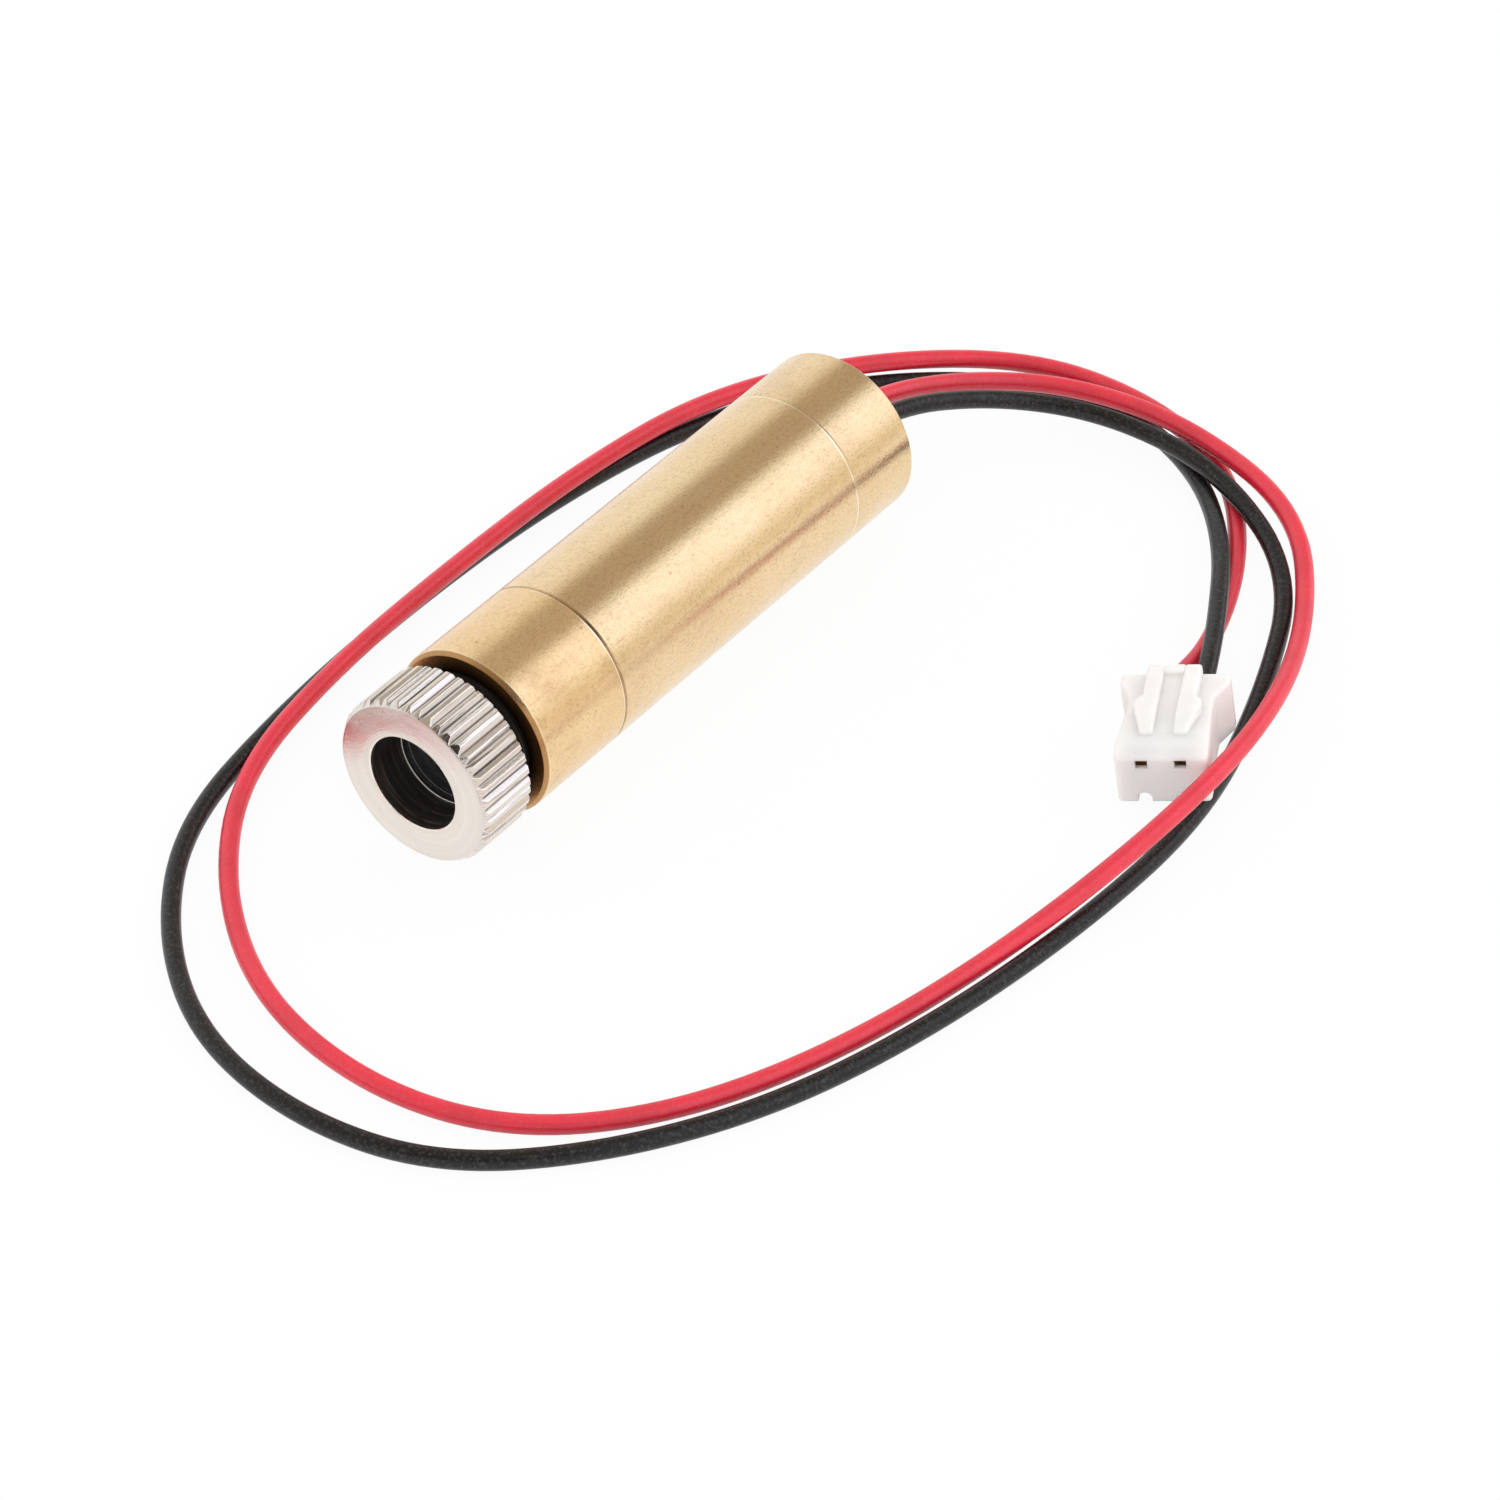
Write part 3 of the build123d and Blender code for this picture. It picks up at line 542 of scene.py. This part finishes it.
def repeat_tree(finish):
    """Copies of a mesh turned about Y, joined into one."""
    tree = bpy.data.node_groups.new("ridges", "GeometryNodeTree")
    tree.interface.new_socket("Geometry", in_out="INPUT", socket_type="NodeSocketGeometry")
    tree.interface.new_socket("Count", in_out="INPUT", socket_type="NodeSocketInt")
    tree.interface.new_socket("Geometry", in_out="OUTPUT", socket_type="NodeSocketGeometry")
    start = tree.nodes.new("NodeGroupInput")
    line = tree.nodes.new("GeometryNodeMeshLine")
    line.mode = "OFFSET"
    tree.links.new(start.outputs["Count"], line.inputs["Count"])
    line.inputs["Offset"].default_value = (0.0, 0.0, 0.0)
    index = tree.nodes.new("GeometryNodeInputIndex")
    angle = times(tree, maths(tree, "DIVIDE", index.outputs[0], start.outputs["Count"]), 2 * math.pi)
    copies = add(tree, "GeometryNodeInstanceOnPoints", None, Points=line.outputs[0],
                 Instance=start.outputs["Geometry"], Rotation=joined(tree, 0.0, angle))
    real = add(tree, "GeometryNodeRealizeInstances", None, Geometry=copies.outputs[0])
    merged = add(tree, "GeometryNodeMergeByDistance", None, Geometry=real.outputs[0], Distance=1e-6)
    painted = add(tree, "GeometryNodeSetMaterial", None, Geometry=merged.outputs[0], Material=finish)
    end = tree.nodes.new("NodeGroupOutput")
    tree.links.new(painted.outputs[0], end.inputs[0])
    return tree


def repeated(name, verts, faces, count, finish, sharp):
    """A closed mesh of count turned copies of a sector, welded where they meet."""
    source = bpy.data.objects.new(name + "_sector", bpy.data.meshes.new(name + "_sector"))
    source.data.from_pydata([tuple(c * MM for c in v) for v in verts], [], faces)
    scene.collection.objects.link(source)
    tree = repeat_tree(finish)
    modifier = source.modifiers.new("ridges", "NODES")
    modifier.node_group = tree
    socket = next(s for s in tree.interface.items_tree if s.name == "Count")
    modifier[socket.identifier] = count
    mesh = bpy.data.meshes.new_from_object(source.evaluated_get(bpy.context.evaluated_depsgraph_get()))
    bpy.data.objects.remove(source)
    bm = bmesh.new()
    bm.from_mesh(mesh)
    bmesh.ops.remove_doubles(bm, verts=bm.verts, dist=1e-6)
    flat = [f for f in bm.faces if f.calc_area() < 1e-14]
    if flat:
        bmesh.ops.delete(bm, geom=flat, context="FACES")
    bmesh.ops.recalc_face_normals(bm, faces=bm.faces)
    bm.to_mesh(mesh)
    bm.free()
    shade_smooth(mesh, sharp)
    obj = bpy.data.objects.new(name, mesh)
    scene.collection.objects.link(obj)
    return obj


# Waves round the nut, as (size, number of waves, phase): in radians round it, and in millimetres inwards
SPACING_WAVES = ((0.011, 9, 1.0), (0.008, 16, 2.4), (0.005, 25, 0.7))
HEIGHT_WAVES = ((0.006, 13, 0.5), (0.004, 29, 2.0))
EVEN_R = 4.7


def make_uneven(obj):
    """Ridges of slightly different widths and heights; within EVEN_R the face stays as it is."""
    for v in obj.data.vertices:
        x, y, z = v.co
        r, a = math.hypot(x, z), math.atan2(x, z)
        weight = max(0.0, min(1.0, (r / MM - EVEN_R) / 0.7))
        shift = sum(size * math.sin(waves * a + phase) for size, waves, phase in SPACING_WAVES)
        low = sum(size * (1 + math.sin(waves * a + phase)) for size, waves, phase in HEIGHT_WAVES)
        a += shift * weight
        r -= low * MM * weight
        v.co = (r * math.sin(a), y, r * math.cos(a))


lens_nut = repeated("lens_nut_skin", *nut_sector(), RIDGES, nickel, sharp=42.0)
make_uneven(lens_nut)

# Lens cell, with its fine thread cut into the outside
THREAD_PITCH, THREAD_DEPTH = 0.5, 0.24
THREAD_FRONT, THREAD_REAR, THREAD_STEPS = NUT_REAR + 0.1, -17.05, 96
CELL_BORE_R, CELL_END = 3.385, -17.0
POCKET_R, LENS_LEDGE = 3.27, -23.0


def cell_profile():
    """The cell's section: the black wall in front, the thread outside and the lens's pocket within."""
    outside = [(CELL_R, THREAD_FRONT + (THREAD_REAR - THREAD_FRONT) * k / THREAD_STEPS)
               for k in range(THREAD_STEPS + 1)]
    return [(CELL_BORE_R, NUT_FRONT + WALL), (NUT_SEAT_R, NUT_FRONT + WALL), (NUT_SEAT_R, NUT_REAR),
            (CELL_R - 0.15, NUT_REAR)] + outside + [
        (CELL_R - 0.2, CELL_END), (POCKET_R, CELL_END), (POCKET_R, LENS_LEDGE), (LENS_SEAT_R, LENS_LEDGE),
        (LENS_SEAT_R, LENS_SEAT + 0.02), (3.2, LENS_SEAT), (3.37, LENS_SEAT), (CELL_BORE_R, LENS_SEAT - 0.02),
        (CELL_BORE_R, -24.2), (CELL_BORE_R, -25.2)]


def thread(r, y, a):
    """The outside cut by one right-handed V groove, which runs out at both ends."""
    if r < CELL_R - 0.01:
        return r, y
    fraction = (y / THREAD_PITCH - a / (2 * math.pi)) % 1.0
    ends = max(0.0, min(1.0, (THREAD_REAR - y) / 0.3, (y - THREAD_FRONT) / 0.25))
    return CELL_R - THREAD_DEPTH * abs(2 * fraction - 1) * ends - 0.1 * (1 - ends), y


lens_cell = lathe("lens_cell_skin", cell_profile(), anodised, segments=192, warp=thread, sharp=50.0)

# Ring that holds the lens in its pocket
RING_BORE_R, RING_FRONT, RING_REAR, RING_CHAMFER = 2.7, -20.96, -20.06, 0.15
lens_ring = lathe("lens_ring_skin", rounded([
    (RING_BORE_R, RING_FRONT), (POCKET_R, RING_FRONT), (POCKET_R, RING_REAR),
    (RING_BORE_R + RING_CHAMFER, RING_REAR), (RING_BORE_R, RING_REAR - RING_CHAMFER)], radius=0.03),
    anodised, segments=160)

# Lens: a flat back, a bevelled edge and a dome in front
LENS_R, EDGE_FRONT, LENS_REAR, BEVEL = 3.25, -22.98, -20.98, 0.05
DOME_R, DOME_RISE, DOME_FRONT, DOME_STEPS = 2.95, 0.5, -23.48, 24
ball = (DOME_R ** 2 + DOME_RISE ** 2) / (2 * DOME_RISE)
dome_radii = [DOME_R * k / DOME_STEPS for k in range(DOME_STEPS + 1)]
dome = [(r, DOME_FRONT + ball - math.sqrt(ball * ball - r ** 2)) for r in dome_radii]
edge = [(LENS_R - BEVEL, EDGE_FRONT), (LENS_R, EDGE_FRONT + BEVEL), (LENS_R, LENS_REAR - BEVEL),
        (LENS_R - BEVEL, LENS_REAR), (0.0, LENS_REAR)]
lens = lathe("lens_skin", dome + edge, glass, segments=192)

# Spring between the cell and the web, as at rest
SPRING_R, WIRE_R, COILS, SPRING_START, SPRING_END = 4.0, 0.14, 2, -16.81, -14.59


def spring_mesh():
    """A helix of round wire with flat ends."""
    steps, sides, verts, faces = 96 * COILS, 12, [], []
    for i in range(steps + 1):
        a = 2 * math.pi * COILS * i / steps
        out = Vector((math.cos(a), 0.0, -math.sin(a)))
        mid = out * SPRING_R + Vector((0.0, SPRING_START + (SPRING_END - SPRING_START) * i / steps, 0.0))
        for k in range(sides):
            b = 2 * math.pi * k / sides
            verts.append(tuple(mid + (out * math.cos(b) + Vector((0.0, 1.0, 0.0)) * math.sin(b)) * WIRE_R))
    for i in range(steps):
        for k in range(sides):
            n = (k + 1) % sides
            faces.append((i * sides + k, i * sides + n, (i + 1) * sides + n, (i + 1) * sides + k))
    faces += [tuple(range(sides)), tuple(range(steps * sides, (steps + 1) * sides))]
    return verts, faces


spring = mesh_object("focus_spring_skin", *spring_mesh(), steel)

# Connector housing, in its own axes: x across, y back from the mating face, z up
ACROSS, BACK = Vector((0.8859, 0.4356, 0.1597)), Vector((-0.4331, 0.8998, -0.0523))
UP = Vector((-0.1665, -0.0227, 0.9858))
CONNECTOR_AT = Vector((35.523, 5.541, -5.015))
connector_place = Matrix.Translation(CONNECTOR_AT * MM) @ Matrix((ACROSS, BACK, UP)).transposed().to_4x4()
CONNECTOR_LENGTH, BODY_HEIGHT, BODY_FALL = 8.6, 3.9, 0.4
HALF_PLAN = [(3.0, 0.0), (3.0, 1.2), (2.75, 4.9), (2.75, 6.0), (3.55, 7.6), (3.55, CONNECTOR_LENGTH)]
RIB_FRONT, RIB_FOOT, RIB_HEIGHT, RIB_FALL = 1.9, 3.5, 4.65, 0.45
RIB_PLAN = [(0.65, RIB_FRONT), (1.5, RIB_FRONT), (2.2, 4.3), (2.1, 4.9), (1.75, 5.3),
            (1.75, CONNECTOR_LENGTH), (0.65, CONNECTOR_LENGTH)]
BODY_CREASE, RIB_CREASE = 0.9, 3.6    # where the tops turn from sloping to level
MIDDLE_HALF, SLOT_FRONT, SLOT_REAR, SLOT_HEIGHT, SLOT_RISE = 0.7, 2.1, 7.95, 3.92, 0.36
HUMP_FRONT, HUMP_HEIGHT = 7.85, 4.63
CONTACT_SIDE = 1.25
POCKET_HALF, POCKET_FRONT, POCKET_LOW, POCKET_HIGH = 0.85, 0.45, 0.75, 3.4
WINDOW_HALF, WINDOW_REAR, WINDOW_LOW, WINDOW_HIGH = 0.4, 1.5, 2.63, 3.27
ARCH_R, ARCH_RISE, ARCH_REAR, ARCH_STEPS = 0.48, 0.3, 3.2, 16
OVERRUN = 1.0    # how far a cut goes past the outside
HOUSING_SHARP = 40.0


def inset(loop, d):
    """The outline moved inwards by d."""
    out = []
    area = sum(a[0] * b[1] - b[0] * a[1] for a, b in zip(loop, loop[1:] + loop[:1]))
    side = 1 if area > 0 else -1
    for i, p in enumerate(loop):
        a, b, c = Vector(loop[i - 1]), Vector(p), Vector(loop[(i + 1) % len(loop)])
        n1, n2 = (b - a).normalized().orthogonal() * side, (c - b).normalized().orthogonal() * side
        n = (n1 + n2).normalized()
        out.append(tuple(b + n * d / max(0.5, n.dot(n1))))
    return out


def creased(outline, y):
    """The outline with a point on each side where it crosses y."""
    out = []
    for a, b in zip(outline, outline[1:] + outline[:1]):
        out.append(a)
        if (a[1] - y) * (b[1] - y) < 0:
            out.append((a[0] + (b[0] - a[0]) * (y - a[1]) / (b[1] - a[1]), y))
    return out


def moulded(outline, z0, height, low_edge, high_edge, crease=None, steps=5):
    """A plate with rounded lower and upper edges.

    height gives the upper face's z at y, and crease is the y where that face bends.
    """
    loops = []
    for k in range(steps + 1):
        t = math.pi / 2 * k / steps
        loops.append((low_edge * (1 - math.sin(t)), z0 + low_edge * (1 - math.cos(t)), False))
    loops.append((0.0, z0 + low_edge * 1.5 + 0.02, False))
    loops.append((0.0, -high_edge * 1.5 - 0.02, True))
    for k in range(steps + 1):
        t = math.pi / 2 * k / steps
        loops.append((high_edge * (1 - math.cos(t)), -high_edge * (1 - math.sin(t)), True))
    n = len(outline)
    verts = []
    for d, z, from_top in loops:
        verts += [(x, y, z + (height(y) if from_top else 0.0)) for x, y in inset(outline, d)]
    faces = [(i * n + j, i * n + (j + 1) % n, (i + 1) * n + (j + 1) % n, (i + 1) * n + j)
             for i in range(len(loops) - 1) for j in range(n)]
    top = list(range((len(loops) - 1) * n, len(loops) * n))
    if crease is None:
        faces.append(tuple(top))
    else:
        near = sorted(range(n), key=lambda i: abs(outline[i][1] - crease))[:2]
        i, j = min(near), max(near)
        faces.append(tuple(top[i:j + 1]))
        faces.append(tuple(top[j:] + top[:i + 1]))
    faces.append(tuple(reversed(range(n))))
    return verts, faces


def box_part(x0, x1, y0, y1, z0, z1):
    v = [(x, y, z) for x in (x0, x1) for y in (y0, y1) for z in (z0, z1)]
    return v, [(0, 1, 3, 2), (4, 6, 7, 5), (0, 4, 5, 1), (2, 3, 7, 6), (0, 2, 6, 4), (1, 5, 7, 3)]


def arch_part(x):
    """The arched notch under the front, below a contact's window."""
    arch = [(x - ARCH_R, -OVERRUN), (x + ARCH_R, -OVERRUN), (x + ARCH_R, ARCH_RISE)]
    for k in range(1, ARCH_STEPS):
        a = math.pi * k / ARCH_STEPS
        arch.append((x + ARCH_R * math.cos(a), ARCH_RISE + ARCH_R * math.sin(a)))
    arch.append((x - ARCH_R, ARCH_RISE))
    n = len(arch)
    walls = [(i, (i + 1) % n, n + (i + 1) % n, n + i) for i in range(n)]
    ends = [tuple(range(n)), tuple(range(n, 2 * n))]
    return [(px, y, pz) for y in (-OVERRUN, ARCH_REAR) for px, pz in arch], walls + ends


def body_top(y):
    return BODY_HEIGHT - BODY_FALL * max(0.0, 1 - y / BODY_CREASE)


def rib_top(y):
    return RIB_HEIGHT - RIB_FALL * max(0.0, 1 - (y - RIB_FRONT) / (RIB_CREASE - RIB_FRONT))


def slot_top(y):
    return SLOT_HEIGHT + SLOT_RISE * (y - SLOT_FRONT) / (SLOT_REAR - SLOT_FRONT)


def hump_top(y):
    """Level all along."""
    return HUMP_HEIGHT


def across(front, rear):
    """The plan of what fills the middle between the two ribs."""
    return [(-MIDDLE_HALF, front), (MIDDLE_HALF, front), (MIDDLE_HALF, rear), (-MIDDLE_HALF, rear)]


def housing_body():
    """Waisted sides and flared wings, level on top behind a sloping front."""
    plan = rounded(HALF_PLAN + [(-x, y) for x, y in reversed(HALF_PLAN)], radius=0.35, steps=6)
    return moulded(creased(plan, BODY_CREASE), 0.0, body_top, low_edge=0.2, high_edge=0.25,
                   crease=BODY_CREASE)


def housing_rib(sign):
    """A latch rib with an arrow-shaped front."""
    plan = rounded([(sign * x, y) for x, y in RIB_PLAN], radius=0.22, steps=5)
    return moulded(creased(plan, RIB_CREASE), RIB_FOOT, rib_top, low_edge=0.02, high_edge=0.2,
                   crease=RIB_CREASE)


def housing_cuts(x):
    """A contact's pocket, open at the rear, its window in the front and the notch below."""
    return [
        box_part(x - POCKET_HALF, x + POCKET_HALF, POCKET_FRONT, CONNECTOR_LENGTH + OVERRUN, POCKET_LOW,
                 POCKET_HIGH),
        box_part(x - WINDOW_HALF, x + WINDOW_HALF, -OVERRUN, WINDOW_REAR, WINDOW_LOW, WINDOW_HIGH),
        arch_part(x)]


def combined(name, body, steps):
    """The body joined with or cut by each (operation, part), as one mesh in the object's own frame."""
    obj = mesh_object(name, *body, nylon, HOUSING_SHARP)
    tools = []
    for operation, part in steps:
        tools.append(mesh_object("tool", *part, nylon, HOUSING_SHARP))
        cut = obj.modifiers.new("cut", "BOOLEAN")
        cut.operation, cut.solver, cut.object = operation, "EXACT", tools[-1]
    result = bpy.data.meshes.new_from_object(obj.evaluated_get(bpy.context.evaluated_depsgraph_get()))
    obj.modifiers.clear()
    for tool in tools:
        bpy.data.objects.remove(tool)
    result.transform(connector_place)
    obj.data = result
    shade_smooth(result, HOUSING_SHARP)
    return obj


ribs = [housing_rib(-1), housing_rib(1)]
hump_plan = rounded(across(HUMP_FRONT, CONNECTOR_LENGTH), radius=0.15)
middle = [moulded(across(SLOT_FRONT, SLOT_REAR), RIB_FOOT, slot_top, low_edge=0.02, high_edge=0.02),
          moulded(hump_plan, RIB_FOOT, hump_top, low_edge=0.02, high_edge=0.13)]
cuts = housing_cuts(-CONTACT_SIDE) + housing_cuts(CONTACT_SIDE)
housing = combined("connector_skin", housing_body(),
                   [("UNION", part) for part in ribs + middle] + [("DIFFERENCE", part) for part in cuts])

# What each piece stands for
for obj, node, body, slot in (
        (front_ring, "front_ring", "barrel", "ring_brass"),
        (main_tube, "main_tube", "barrel", "barrel_brass"),
        (rear_section, "rear_section", "barrel", "barrel_brass"),
        (rear_plug, "rear_plug", "barrel", "black_potting"),
        (lens_nut, "lens_nut", "focusing_nut", "nickel"),
        (lens_cell, "lens_cell", "focusing_nut", "black_anodised"),
        (lens_ring, "lens_ring", "focusing_nut", "black_anodised"),
        (lens, "collimating_lens", "lens", "lens_glass"),
        (red_lead, "red_lead", "barrel", "red_insulation"),
        (black_lead, "black_lead", "barrel", "black_insulation"),
        (housing, "connector_housing", "barrel", "white_nylon")):
    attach(obj, body)
    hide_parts(node)

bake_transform(spring)
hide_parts("focus_spring")

# The CAD's own nodes: those above with their skins' finishes, the rest shown as they are
finishes = {
    "focus_spring": steel, "diode_base": gold, "diode_cap": gold, "diode_window": glass,
    "diode_pin_a": gold, "diode_pin_b": gold, "diode_pin_c": gold,
    "board_sleeve": film, "driver_board": laminate, "driver_chip": resin, "inductor": ferrite,
    "output_capacitor": ceramic, "input_capacitor": ceramic, "sense_resistor": resin,
    "current_trimmer": trimmer_white, "red_solder": solder_metal, "black_solder": solder_metal,
    "red_lead_tail": red_pvc, "black_lead_tail": black_pvc,
    "red_contact": contact_metal, "black_contact": contact_metal,
    "front_ring": ring_brass, "main_tube": barrel_brass, "rear_section": barrel_brass, "rear_plug": potting,
    "lens_nut": nickel, "lens_cell": anodised, "lens_ring": anodised, "collimating_lens": glass,
    "red_lead": red_pvc, "black_lead": black_pvc, "connector_housing": nylon}
for name, finish in finishes.items():
    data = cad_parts[name].data
    data.materials.clear()
    data.materials.append(finish)

# Floor: white to the camera, and a plain pale surface to the light that falls on the object
m, t = material("floor_white")
light_path = add(t, "ShaderNodeLightPath")
direct = maths(t, "MAXIMUM", light_path.outputs["Is Camera Ray"], light_path.outputs["Is Glossy Ray"])
direct = maths(t, "MAXIMUM", direct, light_path.outputs["Is Transmission Ray"])
shade = add(t, "ShaderNodeBsdfDiffuse", None, Color=(0.9, 0.9, 0.9, 1.0))
glow = add(t, "ShaderNodeEmission", None, Color=(1.0, 1.0, 1.0, 1.0), Strength=1.0)
floor_look = add(t, "ShaderNodeMixShader", None, Fac=times(t, direct, 0.94), i1=shade.outputs[0],
                 i2=glow.outputs[0])
add(t, "ShaderNodeOutputMaterial", None, Surface=floor_look.outputs[0])
FLOOR_HALF, FLOOR_Z = 3, -0.00602    # in metres
corners = [(-FLOOR_HALF, -FLOOR_HALF), (FLOOR_HALF, -FLOOR_HALF),
           (FLOOR_HALF, FLOOR_HALF), (-FLOOR_HALF, FLOOR_HALF)]
floor_mesh = bpy.data.meshes.new("floor")
floor_mesh.from_pydata([(x, y, FLOOR_Z) for x, y in corners], [], [(0, 1, 2, 3)])
floor_mesh.materials.append(m)
floor = bpy.data.objects.new("floor", floor_mesh)
scene.collection.objects.link(floor)

# Room: bands of light along the barrel for reflections, soft light for the rest, white behind
world = bpy.data.worlds.new("room")
world.use_nodes = True
scene.world = world
t = world.node_tree
t.nodes.clear()
light_path = add(t, "ShaderNodeLightPath")
direction = add(t, "ShaderNodeTexCoord").outputs["Generated"]
x, y, z = add(t, "ShaderNodeSeparateXYZ", None, Vector=direction).outputs
around = fitted(t, maths(t, "ARCTAN2", x, z), -math.pi, math.pi)
bands = t.nodes.new("ShaderNodeValToRGB")
t.links.new(around, bands.inputs[0])
BRIGHTEST = 1.5    # the ramp holds colours up to 1, so the levels are divided by this and the strength is it
dark_band = (0.485, 0.425, 0.35)
# Each stop is (degrees round the optical axis from straight up towards +X, level)
stops = [(-180, (0.97, 0.97, 0.97)), (-60, (0.97, 0.98, 1.0)), (-42, (0.88, 0.88, 0.84)), (-28, dark_band),
         (12, dark_band), (21, (0.99, 1.04, 1.1)), (30, (1.25, 1.30, 1.48)), (58, (1.25, 1.26, 1.40)),
         (70, (1.0, 1.02, 1.0)), (82, (0.84, 0.78, 0.66)), (96, (0.78, 0.66, 0.55)), (112, (0.95, 0.93, 0.9)),
         (180, (0.97, 0.97, 0.97))]
ramp = bands.color_ramp
while len(ramp.elements) < len(stops):
    ramp.elements.new(0.5)
for element, (degrees, level) in zip(ramp.elements, stops):
    element.position = (degrees + 180) / 360
    element.color = (*(c / BRIGHTEST for c in level), 1.0)
CAMERA_SIDE = (0.454, -0.607, 0.652)    # about where the camera is; what faces it mirrors a dark place there
toward = maths(t, "ADD", times(t, x, CAMERA_SIDE[0]), times(t, y, CAMERA_SIDE[1]))
toward = maths(t, "ADD", toward, times(t, z, CAMERA_SIDE[2]))
in_dark = fitted(t, toward, math.cos(math.radians(25)), math.cos(math.radians(18)))
shown = mixed(t, in_dark, bands.outputs[0], (0.03, 0.025, 0.02))
reflected = add(t, "ShaderNodeBackground", None, Color=shown, Strength=BRIGHTEST)
soft = add(t, "ShaderNodeBackground", None, Color=(1.0, 1.0, 1.0, 1.0),
           Strength=maths(t, "SUBTRACT", 1.45, times(t, z, 0.5)))    # less from above
white = add(t, "ShaderNodeBackground", None, Color=(1.0, 1.0, 1.0, 1.0), Strength=1.0)
first = add(t, "ShaderNodeMixShader", None, Fac=light_path.outputs["Is Glossy Ray"], i1=soft.outputs[0],
            i2=reflected.outputs[0])
seen = maths(t, "MAXIMUM", light_path.outputs["Is Camera Ray"], light_path.outputs["Is Transmission Ray"])
last = add(t, "ShaderNodeMixShader", None, Fac=seen, i1=first.outputs[0], i2=white.outputs[0])
add(t, "ShaderNodeOutputWorld", None, Surface=last.outputs[0])

SUN_FROM = Vector((0.56, 0.6, 0.56))
sun_data = bpy.data.lights.new("key", "SUN")
sun_data.energy, sun_data.angle = 0.25, math.radians(35)
sun = bpy.data.objects.new("key", sun_data)
sun.rotation_euler = SUN_FROM.to_track_quat("Z", "Y").to_euler()
sun.visible_glossy = False
scene.collection.objects.link(sun)
